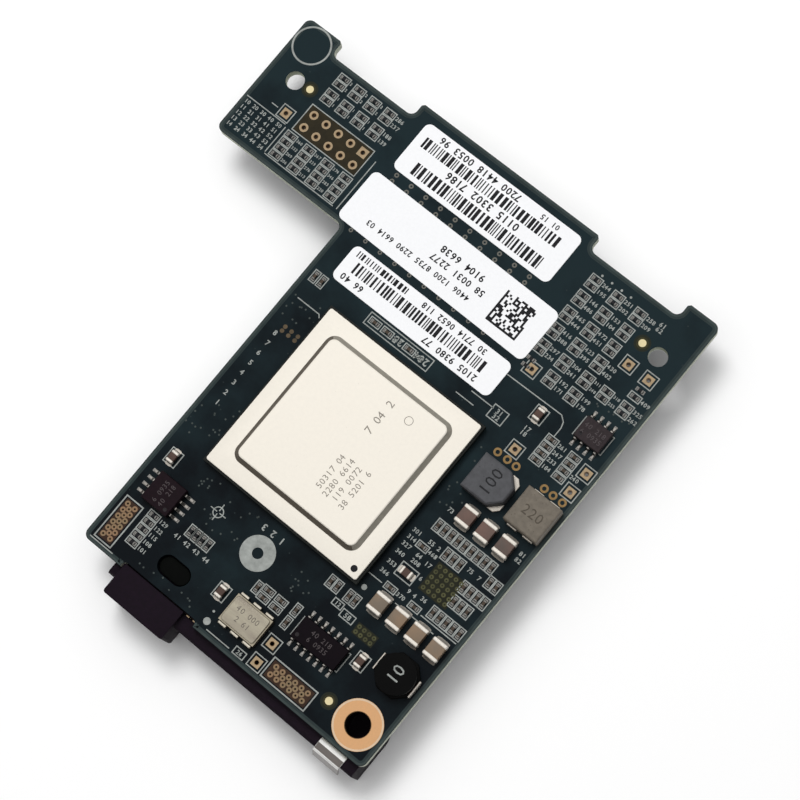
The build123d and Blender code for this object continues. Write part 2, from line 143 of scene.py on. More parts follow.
def solids_of(node):
    """Lowest and highest corner of each separate solid in a CAD node, in card millimetres."""
    mesh = welded(node)
    unseen = set(mesh.verts)
    boxes = []
    while unseen:
        group = [unseen.pop()]
        for vertex in group:
            for edge in vertex.link_edges:
                other = edge.other_vert(vertex)
                if other in unseen:
                    unseen.remove(other)
                    group.append(other)
        points = [on_card(v.co) for v in group]
        boxes.append([Vector(pick(p[i] for p in points) for i in range(3)) for pick in (min, max)])
    mesh.free()
    return sorted(boxes, key=lambda box: (round(box[0].y, 2), round(box[0].x, 2)))


def chip_places(node):
    """Middle of each chip in a node and its turn in degrees."""
    places = []
    for low, high in solids_of(node):
        middle, size = (low + high) / 2, high - low
        places.append((middle.x, middle.y, 90 if size.y > size.x else 0))
    return places


def top_edge(node):
    """Outline of a CAD node's top face, as card points in anticlockwise order."""
    mesh = welded(node)
    level = max(v.co.z for v in mesh.verts)
    follow = {}
    for face in mesh.faces:
        if face.normal.z < 0.9 or abs(face.calc_center_median().z - level) > WELD:
            continue
        for loop in face.loops:
            if all(f is face or f.normal.z < 0.9 for f in loop.edge.link_faces):
                follow[loop.vert] = loop.link_loop_next.vert
    start = min(follow, key=lambda v: v.co.x)
    outline, vertex = [start], follow[start]
    while vertex is not start:
        outline.append(vertex)
        vertex = follow[vertex]
    points = [on_card(v.co).xy for v in outline]
    mesh.free()
    return points


def mitre(before, after):
    """Step to the left at a bend between two directions, for a line one unit away."""
    across = Vector((-before.y - after.y, before.x + after.x)).normalized()
    return across / max(0.5, across.dot(Vector((-before.y, before.x))))


def inset(points, depth):
    """Closed anticlockwise line moved inwards by a depth."""
    steps = [(point - points[i - 1]).normalized() for i, point in enumerate(points)]
    return [p + mitre(a, b) * depth for p, a, b in zip(points, steps, steps[1:] + steps[:1])]


def circle(x, y, radius, sides):
    """Points round a circle in card millimetres."""
    turns = [math.tau * (i + 0.5) / sides for i in range(sides)]
    return [Vector((x + radius * math.cos(a), y + radius * math.sin(a))) for a in turns]


def rectangle(left, right, front, back):
    """Corners of a rectangle in card millimetres."""
    return [Vector(p) for p in ((left, front), (right, front), (right, back), (left, back))]


def shown(mesh, name, looks, stands_for=(), smooth=35, flat=frozenset()):
    """Turn a bmesh into a piece that rides with the card, with its finishes by name."""
    bmesh.ops.recalc_face_normals(mesh, faces=[f for f in mesh.faces if f not in flat])
    data = bpy.data.meshes.new(name)
    mesh.to_mesh(data)
    mesh.free()
    data.shade_smooth()
    data.set_sharp_from_angle(angle=math.radians(smooth))
    for finish in looks.split():
        data.materials.append(look(finish))
    piece = bpy.data.objects.new(name, data)
    bpy.context.scene.collection.objects.link(piece)
    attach(piece, "root")
    if stands_for:
        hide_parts(*stands_for)


def rounded(node, edge, segments):
    """A CAD node's mesh with every sharp edge rounded."""
    mesh = welded(node)
    sharp = [e for e in mesh.edges if len(e.link_faces) == 2 and e.calc_face_angle() > SHARP]
    bmesh.ops.bevel(
        mesh, geom=sharp, offset=edge * MM, segments=segments, profile=0.5, affect="EDGES",
        clamp_overlap=True,
    )
    return mesh


def dressed(node, name, edge, segments, looks):
    """Show a CAD node under the piece's own name, with rounded edges."""
    shown(rounded(node, edge, segments), name, looks, [node])


def sunk(mesh):
    """Lower the highest face slightly, so that print on it stays inside the piece's box."""
    top = max(v.co.z for v in mesh.verts)
    for vertex in mesh.verts:
        if vertex.co.z > top - PRINT_ROOM * MM:
            vertex.co.z -= PRINT_ROOM * MM
    return mesh


def divided(mesh, spot, normal):
    """Split the faces of a mesh along a plane."""
    everything = mesh.verts[:] + mesh.edges[:] + mesh.faces[:]
    bmesh.ops.bisect_plane(mesh, geom=everything, plane_co=spot, plane_no=normal)
    return mesh


def tinted(mesh, rule):
    """Pick each face's finish by a rule on its normal, its middle on the card and its present finish."""
    for face in mesh.faces:
        face.normal_update()
        face.material_index = rule(face.normal, on_card(face.calc_center_median()), face.material_index)
    return mesh


def tube(mesh, loops, tint, capped=True):
    """Join closed loops of corners in turn, with a cap at both ends where asked."""
    corners = [loops[0], loops[-1][::-1]] if capped else []
    for first, second in zip(loops, loops[1:]):
        corners += [(first[i - 1], first[i], second[i], second[i - 1]) for i in range(len(first))]
    for face in corners:
        mesh.faces.new(face).material_index = tint


def brick(mesh, low, high, edge, tint):
    """Add a block between two corners given in millimetres, rounded where an edge is given."""
    made = bmesh.ops.create_cube(mesh, size=1.0)["verts"]
    low, high = Vector(low), Vector(high)
    for vertex in made:
        vertex.co = ((low + high) / 2 + Vector(c * s for c, s in zip(vertex.co, high - low))) * MM
    for face in {f for v in made for f in v.link_faces}:
        face.material_index = tint
    if edge:
        edges = list({e for v in made for e in v.link_edges})
        bmesh.ops.bevel(
            mesh, geom=edges, offset=edge * MM, segments=2, profile=0.5, affect="EDGES", material=-1,
        )


def fillet(mesh, spot, out, half, rise, reach, tint=0):
    """Add a concave solder joint that runs outwards from the foot of a metal end."""
    across = Vector((-out.y, out.x)) * half
    rows = []
    for side, share, spread in ((-1, 0.6, 0.75), (-0.5, 1, 1), (0.5, 1, 1), (1, 0.6, 0.75)):
        tall, far = share * rise, spread * reach
        row = []
        for u, z in (
            (-0.05, tall), (0.1 * far, 0.6 * tall), (0.35 * far, 0.25 * tall), (far, 0.02), (-0.05, 0.02),
        ):
            place = spot + out * u + across * side
            row.append(mesh.verts.new(card_point(place.x, place.y, z)))
        rows.append(row)
    tube(mesh, rows, tint)


def stamped(template, places):
    """Copies of a template mesh at each place, a card point with a turn in degrees."""
    data = bpy.data.meshes.new("template")
    template.to_mesh(data)
    template.free()
    mesh = bmesh.new()
    for x, y, turn in places:
        start = len(mesh.verts)
        mesh.from_mesh(data)
        mesh.verts.ensure_lookup_table()
        place = Matrix.Translation(card_point(x, y)) @ Matrix.Rotation(math.radians(turn), 4, "Z")
        bmesh.ops.transform(mesh, matrix=place, verts=mesh.verts[start:])
    bpy.data.meshes.remove(data)
    return mesh


def numeral(mark, weight):
    """Flat faces of one plain numeral, a unit high, from Blender's own face."""
    if (mark, weight) not in NUMERALS:
        curve = bpy.data.curves.new("numeral", "FONT")
        curve.body = mark
        curve.resolution_u = 2
        curve.offset = weight
        holder = bpy.data.objects.new("numeral", curve)
        bpy.context.scene.collection.objects.link(holder)
        graph = bpy.context.evaluated_depsgraph_get()
        data = bpy.data.meshes.new_from_object(holder.evaluated_get(graph))
        tall = max(v.co.y for v in data.vertices)
        middle = sum(v.co.x for v in data.vertices) / len(data.vertices)
        points = [Vector((v.co.x - middle, v.co.y)) / tall for v in data.vertices]
        NUMERALS[mark, weight] = points, [tuple(p.vertices) for p in data.polygons]
        bpy.data.objects.remove(holder)
        bpy.data.curves.remove(curve)
        bpy.data.meshes.remove(data)
    return NUMERALS[mark, weight]


class Inlay:
    """Thin raised shapes at one level of the card, gathered into a single mesh."""

    def __init__(self, level, thickness, weight=0.0):
        self.mesh = bmesh.new()
        self.level = level
        self.top = level + thickness
        self.weight = weight
        self.tint = 0
        self.flat = set()

    def corners(self, line, z):
        """Corners along a line of card points at a height."""
        return [self.mesh.verts.new(card_point(x, y, z)) for x, y in line]

    def prism(self, outline):
        """Raise a closed outline of card points."""
        low, high = self.corners(outline, self.level), self.corners(outline, self.top)
        tube(self.mesh, [high, low], self.tint)

    def band(self, inner, outer):
        """Raise the strip between two closed lines of card points."""
        around = ((inner, self.level), (outer, self.level), (outer, self.top), (inner, self.top))
        loops = [self.corners(line, z) for line, z in around]
        tube(self.mesh, loops + loops[:1], self.tint, False)

    def plate(self, left, right, front, back):
        """Filled rectangle."""
        self.prism(rectangle(left, right, front, back))

    def path(self, points, width):
        """Stroke through several points, with mitred bends."""
        points = [Vector(p) for p in points]
        steps = [(b - a).normalized() for a, b in zip(points, points[1:])]
        sides = []
        for point, before, after in zip(points, steps[:1] + steps, steps + steps[-1:]):
            reach = mitre(before, after) * width / 2
            sides.append((point - reach, point + reach))
        self.prism([right for right, left in sides] + [left for right, left in reversed(sides)])

    def outline(self, left, right, front, back, width):
        """Rectangle drawn as a line."""
        corners = rectangle(left, right, front, back)
        self.band(inset(corners, width / 2), inset(corners, -width / 2))

    def disc(self, x, y, radius, sides=20):
        """Filled circle."""
        self.prism(circle(x, y, radius, sides))

    def ring(self, x, y, inner, outer, sides=28):
        """Circle drawn as a band between two radii."""
        self.band(circle(x, y, inner, sides), circle(x, y, outer, sides))

    def square_ring(self, x, y, hole, half, sides=28):
        """Square with a round hole."""
        around = [Vector((x, y)) + p * half / max(abs(p.x), abs(p.y)) for p in circle(0, 0, 1, sides)]
        self.band(circle(x, y, hole, sides), around)

    def number(self, text, x, y, height, turn=0.0):
        """Plain numerals, centred on a point; a space leaves a gap."""
        spin = Matrix.Rotation(math.radians(turn), 2)
        for i, mark in enumerate(text):
            if mark == " ":
                continue
            points, faces = numeral(mark, self.weight)
            corner = Vector(((i + 0.5 - len(text) / 2) * NUMERAL_STEP, -0.5))
            spots = [Vector((x, y)) + spin @ ((corner + point) * height) for point in points]
            verts = self.corners(spots, self.top)
            for around in faces:
                face = self.mesh.faces.new([verts[k] for k in around])
                face.material_index = self.tint
                self.flat.add(face)

    def show(self, name, looks, slot):
        """Finish the sheet as a piece."""
        shown(self.mesh, name, looks, (), 30, self.flat)


class Finish(NamedTuple):
    """Values of a grained finish.

    A colour is three numbers, the name of a colour setting, or two such names to mix. The dark tone is a
    factor of it or a colour of its own. Rough runs from smoothest to roughest, and depth is in millimetres.
    """

    colour: object
    dark: object
    scale: float
    rough: tuple
    depth: float
    metallic: float = 0.0
    specular: float = 0.5
    stretch: tuple = (1.0, 1.0, 1.0)
    rise: tuple = (0.0, 0.0, 0.0)
    fleck: tuple = None


FINISHES = {
    # Board, pads and print
    # Painted shade: the mask runs darker towards the card's bottom edge by its rise along Y; its second tone
    # also mottles it
    "rippled_mask": Finish("mask", "mask_shade", 90, (0.3, 0.42), 0.006, 0, 0.06, rise=(0.0, 5.0, 0.0),
                           fleck=((0.034, 0.044, 0.046), 430.0, 0.07)),
    "thin_mask": Finish("rim", 0.7, 700, (0.45, 0.6), 0.01, 0, 0.15),
    "thicker_mask": Finish("rim mask", 0.7, 700, (0.4, 0.55), 0.01, 0, 0.12),
    "cut_laminate": Finish("laminate", 0.6, 1500, (0.6, 0.8), 0.02, 0, 0.2, (1, 1, 6)),
    "clear_laminate": Finish((0.040, 0.036, 0.012), 0.6, 900, (0.4, 0.55), 0.006, 0, 0.2),
    "clear_laminate_edge": Finish((0.018, 0.021, 0.013), 0.7, 900, (0.4, 0.55), 0.006, 0, 0.15),
    "bare_header_ground": Finish((0.030, 0.024, 0.012), 0.6, 900, (0.45, 0.6), 0.006, 0, 0.15),
    "screen_ink": Finish("ink", 0.62, 900, (0.5, 0.65), 0.004, 0, 0.2),
    "plated_gold": Finish("gold", 0.7, 1800, (0.3, 0.45), 0.004, 1),
    "via_gold": Finish((0.36, 0.23, 0.10), 0.6, 1500, (0.3, 0.45), 0.004, 1),
    "brown_plating": Finish((0.30, 0.19, 0.10), 0.6, 1500, (0.3, 0.45), 0.004, 1),
    "bare_land": Finish((0.80, 0.69, 0.40), 0.85, 1800, (0.35, 0.5), 0.004, 0.3),
    "tented_via": Finish((0.15, 0.145, 0.125), 0.7, 1200, (0.35, 0.5), 0.004, 0, 0.3),
    "covered_via": Finish((0.060, 0.074, 0.070), 0.6, 1200, (0.35, 0.5), 0.004, 0, 0.2),
    # Painted shade: dark discs stand for the shaded inside of the via holes
    "via_hole": Finish((0.006, 0.005, 0.004), 0.6, 1500, (0.5, 0.7), 0.004, 0, 0.1),
    "field_ground": Finish((0.050, 0.026, 0.016), 0.5, 900, (0.4, 0.55), 0.008, 0, 0.15),
    "field_copper": Finish((0.27, 0.155, 0.085), (0.20, 0.15, 0.08), 260, (0.35, 0.5), 0.008, 0, 0.3),
    "olive_ground": Finish((0.020, 0.021, 0.012), 0.6, 700, (0.4, 0.55), 0.008, 0, 0.12),
    "olive_copper": Finish((0.085, 0.085, 0.035), 0.5, 500, (0.35, 0.5), 0.008, 0, 0.2),
    "dim_copper": Finish((0.125, 0.090, 0.052), 0.5, 500, (0.35, 0.5), 0.008, 0, 0.2),
    "bare_copper": Finish("copper", 0.82, 1400, (0.32, 0.5), 0.006, 1,
                          fleck=((0.62, 0.34, 0.17), 700.0, 0.14)),
    # Painted highlight on the inner edge of the copper screw ring
    "copper_painted_highlight": Finish((0.78, 0.58, 0.40), 0.8, 1400, (0.3, 0.45), 0.006, 0.6),
    # Solder and tin
    "tinned_metal": Finish("tin", 0.75, 2500, (0.32, 0.45), 0.006, 0.75),
    "dull_solder": Finish("solder", 0.6, 2600, (0.3, 0.48), 0.01, 1),
    "dull_tin": Finish((0.52, 0.49, 0.45), 0.6, 1500, (0.25, 0.4), 0.006, 1),
    "end_tin": Finish((0.93, 0.87, 0.78), 0.8, 2500, (0.32, 0.45), 0.006, 0.5),
    "bright_land": Finish((0.78, 0.72, 0.60), 0.7, 1500, (0.2, 0.35), 0.006, 1),
    # Controller
    "package_laminate": Finish((0.012, 0.014, 0.012), 0.6, 800, (0.4, 0.55), 0.01, 0, 0.2),
    "stamped_nickel": Finish("lid", 0.96, 1600, (0.45, 0.55), 0.003, 0.2, 0.3,
                             fleck=((0.80, 0.74, 0.65), 420.0, 0.05)),
    # Painted shade and painted light on the lower wall of the lid's island
    "fold_in_shade": Finish((0.110, 0.093, 0.072), 0.8, 1600, (0.4, 0.5), 0.003, 0.2),
    "fold_in_light": Finish((0.31, 0.29, 0.245), 0.8, 1600, (0.4, 0.5), 0.003, 0.2),
    "laser_mark": Finish((0.31, 0.28, 0.24), 0.8, 2000, (0.45, 0.6), 0.002, 0.4),
    "bare_silicon": Finish((0.08, 0.08, 0.09), 0.8, 600, (0.15, 0.25), 0.002),
    # Connector
    "connector_plastic": Finish("plastic", 0.6, 1300, (0.55, 0.7), 0.012, 0, 0.1,
                                fleck=((0.030, 0.022, 0.030), 1900.0, 0.1)),
    # Painted shade on the connector's peg where it shows in the board's slot
    "plastic_in_slot": Finish((0.0030, 0.0034, 0.0030), 0.6, 1300, (0.55, 0.7), 0.012, 0, 0.04),
    "brushed_steel": Finish((0.19, 0.172, 0.16), 0.8, 500, (0.3, 0.4), 0.004, 1, 0.5, (0.15, 3.0, 3.0)),
    # Painted highlight along the clip's upper edge and its bends
    "bent_steel": Finish((0.90, 0.89, 0.87), 0.85, 500, (0.3, 0.4), 0.004, 0.2),
    # Moulded packages and oscillator
    "logic_chip_epoxy": Finish((0.0065, 0.0038, 0.006), 0.6, 1600, (0.42, 0.58), 0.012, 0, 0.07,
                               fleck=((0.026, 0.0152, 0.024), 2300.0, 0.1)),
    "flash_chip_epoxy": Finish((0.013, 0.0065, 0.0095), 0.6, 1600, (0.42, 0.58), 0.012, 0, 0.09,
                               fleck=((0.052, 0.026, 0.038), 2300.0, 0.1)),
    "regulator_chip_epoxy": Finish((0.036, 0.027, 0.029), 0.6, 1600, (0.42, 0.58), 0.012, 0, 0.15,
                                   fleck=((0.144, 0.108, 0.116), 2300.0, 0.1)),
    "pin_one_dimple": Finish((0.020, 0.016, 0.018), 0.7, 1800, (0.25, 0.35), 0.004, 0, 0.2),
    "package_print": Finish((0.085, 0.072, 0.075), 0.75, 2400, (0.5, 0.65), 0.002, 0, 0.1),
    "brown_ceramic": Finish((0.060, 0.045, 0.030), 0.7, 1200, (0.5, 0.65), 0.01),
    "seal_ring": Finish((0.45, 0.40, 0.30), 0.8, 1500, (0.3, 0.4), 0.004, 0.8),
    "plated_can": Finish((0.54, 0.50, 0.38), (0.30, 0.26, 0.21), 240, (0.3, 0.42), 0.004, 0.75, 0.5,
                         (0.4, 2.0, 1.0)),
    "can_print": Finish((0.14, 0.12, 0.10), 0.8, 2200, (0.4, 0.55), 0.002),
    # Inductors
    "pressed_powder": Finish((0.092, 0.093, 0.100), 0.7, 1100, (0.55, 0.7), 0.03, 0, 0.3,
                             fleck=((0.04, 0.04, 0.045), 1500.0, 0.2)),
    "beige_powder": Finish((0.185, 0.160, 0.128), 0.7, 1100, (0.5, 0.65), 0.03, 0, 0.3,
                           fleck=((0.09, 0.075, 0.06), 1500.0, 0.2)),
    "black_ferrite": Finish((0.0032, 0.0032, 0.0032), 0.6, 1300, (0.35, 0.5), 0.01, 0, 0.05),
    "winding_wire": Finish((0.55, 0.22, 0.08), 0.7, 300, (0.25, 0.4), 0.02, 1, 0.5, (1.0, 1.0, 14.0)),
    "inductor_print": Finish((0.022, 0.022, 0.024), 0.7, 2200, (0.5, 0.65), 0.002, 0, 0.15),
    "faint_print": Finish((0.090, 0.075, 0.058), 0.8, 2200, (0.5, 0.65), 0.002, 0, 0.2),
    # Capacitors, chips and labels
    "red_ceramic": Finish((0.17, 0.095, 0.075), (0.085, 0.068, 0.058), 140, (0.3, 0.42), 0.006, 0, 0.3),
    "tan_ceramic": Finish((0.27, 0.175, 0.105), (0.17, 0.135, 0.10), 140, (0.3, 0.42), 0.006, 0, 0.3),
    "umber_ceramic": Finish((0.085, 0.048, 0.036), 0.7, 500, (0.3, 0.42), 0.006, 0, 0.3),
    "resistor_glaze": Finish((0.010, 0.010, 0.012), 0.7, 1600, (0.25, 0.4), 0.004, 0, 0.2),
    "chip_ceramic": Finish((0.075, 0.055, 0.040), 0.7, 1600, (0.35, 0.5), 0.004, 0, 0.2),
    "sticker_paper": Finish("paper", 0.96, 2400, (0.4, 0.5), 0.004, 0, 0.3),
    "black_print": Finish((0.012, 0.012, 0.014), 0.6, 2500, (0.45, 0.6), 0.002, 0, 0.2),
    # Stage
    "floor_sheet": Finish("floor", 0.995, 3.0, (0.85, 0.95), 0.0, 0, 0.1),
}


def add(tree, kind, values=None, **options):
    """New shader node with its options and its plain input values."""
    made = tree.nodes.new("ShaderNode" + kind)
    for option, value in options.items():
        setattr(made, option, value)
    for socket, value in (values or {}).items():
        made.inputs[socket].default_value = value
    return made


def wire(tree, *links):
    """Join nodes, each link given as a node, its output, the next node and its input."""
    for start, output, end, socket in links:
        tree.links.new(start.outputs[output], end.inputs[socket])


def shader_group(name, inputs, outputs):
    """Empty shader node group with its named sockets and end nodes."""
    group = bpy.data.node_groups.new(name, "ShaderNodeTree")
    for label, kind, default in inputs:
        socket = group.interface.new_socket(label, in_out="INPUT", socket_type="NodeSocket" + kind)
        socket.default_value = default
    for label, kind in outputs:
        group.interface.new_socket(label, in_out="OUTPUT", socket_type="NodeSocket" + kind)
    return group, group.nodes.new("NodeGroupInput"), group.nodes.new("NodeGroupOutput")


def grain_group():
    """Mottled colour, roughness and height from a noise that can be stretched, or lightened one way."""
    if "surface_grain" in bpy.data.node_groups:
        return bpy.data.node_groups["surface_grain"]
    grey = (0.5, 0.5, 0.5, 1.0)
    group, given, result = shader_group(
        "surface_grain",
        [
            ("Light", "Color", grey), ("Dark", "Color", grey), ("Scale", "Float", 800.0),
            ("Stretch", "Vector", (1.0, 1.0, 1.0)), ("Rise", "Vector", (0.0, 0.0, 0.0)),
            ("Smoothest", "Float", 0.35), ("Roughest", "Float", 0.55),
        ],
        [("Color", "Color"), ("Roughness", "Float"), ("Height", "Float")],
    )
    place = add(group, "TexCoord")
    stretch = add(group, "VectorMath", operation="MULTIPLY")
    noise = add(group, "TexNoise", {"Detail": 5.0, "Roughness": 0.6})
    rise = add(group, "VectorMath", operation="DOT_PRODUCT")
    lean = add(group, "Math", operation="ADD")
    spread = add(group, "MapRange", {"From Min": 0.3, "From Max": 0.7})
    tone = add(group, "Mix", data_type="RGBA")
    gloss = add(group, "MapRange")
    wire(
        group,
        (place, "Object", stretch, 0), (given, "Stretch", stretch, 1),
        (stretch, "Vector", noise, "Vector"), (given, "Scale", noise, "Scale"),
        (place, "Object", rise, 0), (given, "Rise", rise, 1),
        (noise, "Fac", lean, 0), (rise, "Value", lean, 1), (lean, "Value", spread, "Value"),
        (spread, "Result", tone, "Factor"), (given, "Dark", tone, 6), (given, "Light", tone, 7),
        (spread, "Result", gloss, "Value"),
        (given, "Smoothest", gloss, "To Min"), (given, "Roughest", gloss, "To Max"),
        (tone, 2, result, "Color"), (gloss, "Result", result, "Roughness"), (noise, "Fac", result, "Height"),
    )
    return group


def fleck_group():
    """Small scattered spots of a second colour, such as pits, fibres or specks of dust."""
    if "scattered_flecks" in bpy.data.node_groups:
        return bpy.data.node_groups["scattered_flecks"]
    grey = (0.5, 0.5, 0.5, 1.0)
    group, given, result = shader_group(
        "scattered_flecks",
        [
            ("Ground", "Color", grey), ("Fleck", "Color", grey),
            ("Scale", "Float", 1500.0), ("Size", "Float", 0.15),
        ],
        [("Color", "Color"), ("Mask", "Float")],
    )
    place = add(group, "TexCoord")
    cells = add(group, "TexVoronoi")
    spot = add(group, "MapRange", {"From Min": 0.0, "To Min": 1.0, "To Max": 0.0})
    tone = add(group, "Mix", data_type="RGBA")
    wire(
        group,
        (place, "Object", cells, "Vector"), (given, "Scale", cells, "Scale"),
        (cells, "Distance", spot, "Value"), (given, "Size", spot, "From Max"),
        (spot, "Result", tone, "Factor"), (given, "Ground", tone, 6), (given, "Fleck", tone, 7),
        (tone, 2, result, "Color"), (spot, "Result", result, "Mask"),
    )
    return group


def paint(colour, factor=1.0):
    """A finish's colour with alpha, made darker where a factor is given."""
    if isinstance(colour, str):
        mixed = [getattr(bpy.context.scene.card_colours, name) for name in colour.split()]
        colour = [sum(part) / len(mixed) for part in zip(*mixed)]
    return (*[c * factor for c in colour], 1.0)


def look(name):
    """Material of a named finish: grained colour, roughness and bump, with flecks where given."""
    if name in MATERIALS:
        return MATERIALS[name]
    finish = FINISHES[name]
    material = MATERIALS[name] = bpy.data.materials.new(name)
    material.use_nodes = True
    tree = material.node_tree
    shader = tree.nodes["Principled BSDF"]
    shader.inputs["Metallic"].default_value = finish.metallic
    shader.inputs["Specular IOR Level"].default_value = finish.specular
    second = paint(finish.colour, finish.dark) if isinstance(finish.dark, float) else paint(finish.dark)
    coloured = grain = add(tree, "Group", {
        "Light": paint(finish.colour), "Dark": second, "Scale": finish.scale, "Stretch": finish.stretch,
        "Rise": finish.rise, "Smoothest": finish.rough[0], "Roughest": finish.rough[1],
    }, node_tree=grain_group())
    relief = add(tree, "Bump", {"Strength": 0.6, "Distance": finish.depth * MM})
    if finish.fleck:
        colour, scale, size = finish.fleck
        coloured = add(tree, "Group", {"Fleck": paint(colour), "Scale": scale, "Size": size},
                       node_tree=fleck_group())
        wire(tree, (grain, "Color", coloured, "Ground"))
    wire(
        tree,
        (coloured, "Color", shader, "Base Color"), (grain, "Roughness", shader, "Roughness"),
        (grain, "Height", relief, "Height"), (relief, "Normal", shader, "Normal"),
    )
    return material


def hue(label, default):
    """Colour setting with its default."""
    return FloatVectorProperty(
        name=label, description=label + ", as linear red, green and blue", subtype="COLOR", size=3,
        min=0.0, max=1.0, default=default,
    )


def length(label, default):
    """Length setting with its default, in metres."""
    return FloatProperty(name=label, description=label, unit="LENGTH", min=0.0, default=default)


def angle(label, description, degrees):
    """Angle setting with its default, given in degrees."""
    return FloatProperty(name=label, description=description, subtype="ANGLE", default=math.radians(degrees))


class CardColours(PropertyGroup):
    """Colours of the card's finishes and of the floor"""

    mask: hue("Solder mask", (0.0115, 0.0220, 0.0260))
    # Second tone of the mask: random mottle, and painted shade towards the card's bottom edge
    mask_shade: hue("Solder mask, second tone", (0.0032, 0.0052, 0.0072))
    rim: hue("Board under the thin mask of the rim", (0.046, 0.062, 0.060))
    laminate: hue("Cut edge of the laminate", (0.62, 0.65, 0.54))
    ink: hue("Silkscreen ink", (0.38, 0.40, 0.38))
    gold: hue("Gold plated pads", (0.50, 0.375, 0.235))
    copper: hue("Bare copper ring", (0.80, 0.46, 0.23))
    tin: hue("Tinned metal", (0.76, 0.70, 0.62))
    solder: hue("Dull solder of the chips", (0.34, 0.33, 0.31))
    lid: hue("Controller lid", (0.935, 0.882, 0.785))
    plastic: hue("Connector plastic", (0.011, 0.006, 0.0115))
    paper: hue("Label paper", (0.92, 0.925, 0.94))
    floor: hue("Floor", (0.97, 0.97, 0.97))


class CardSizes(PropertyGroup):
    """Sizes of the printed and plated layers"""

    ink_line: length("Silkscreen line width", 0.00017)
    ink_thickness: length("Silkscreen thickness", 0.000012)
    pad_thickness: length("Pad thickness", 0.00003)
    hole_radius: length("Plated hole radius", 0.00042)


class StageSettings(PropertyGroup):
    """Camera and light of the studio"""

    aim: FloatVectorProperty(
        name="Aim", description="Point that the camera looks at", subtype="XYZ", unit="LENGTH", size=3,
        default=(0.01007, 0.00615, 0.0096),
    )
    distance: length("Camera distance", 0.3579)
    azimuth: angle("Azimuth", "Camera angle round the card", 67.53)
    elevation: angle("Elevation", "Camera angle above the floor", 76.0)
    roll: angle("Roll", "Camera turn about its own axis", -28.53)
    lens: FloatProperty(
        name="Lens", description="Focal length on a 36 mm sensor", unit="CAMERA", default=104.85,
    )
    sky: FloatProperty(name="Sky", description="Brightness overhead", default=1.05, min=0.0)
    horizon: FloatProperty(name="Horizon", description="Brightness at floor level", default=0.09, min=0.0)
    key_power: FloatProperty(
        name="Key light", description="Power of the soft key light", unit="POWER", default=4.1, min=0.0,
    )


class CardBoard(Operator):
    """Build the laminate with its cut edge and paler rim"""

    bl_idname = "card.board"
    bl_label = "Board"

    def execute(self, context):
        mesh = rounded("circuit_board", 0.06, 1)
        # Painted shade: the board's walls round the connector's slot take the dark mask instead of the pale
        # cut edge
        tinted(mesh, lambda normal, spot, tint: 0 if in_slot(spot) or abs(normal.z) > 0.5 else 1)
        shown(mesh, "board_laminate", "rippled_mask cut_laminate", ["circuit_board"], 12)
        line = top_edge("circuit_board")
        outer, middle, inner = [inset(line, depth) for depth in (0.07, 0.42, 0.8)]
        rim = Inlay(0.0, MASK_LAYER)
        rim.band(middle, outer)
        rim.tint = 1
        rim.band(inner, middle)
        left, right, front, back = NOTCH

        # Painted shade: the rim along the notch takes the mask's colour
        def notch_painted_shade(normal, spot, tint):
            return 2 if left < spot.x < right and front < spot.y < back else tint

        tinted(rim.mesh, notch_painted_shade)
        rim.show("board_rim", "thin_mask thicker_mask rippled_mask", "solder_mask")
        return {"FINISHED"}


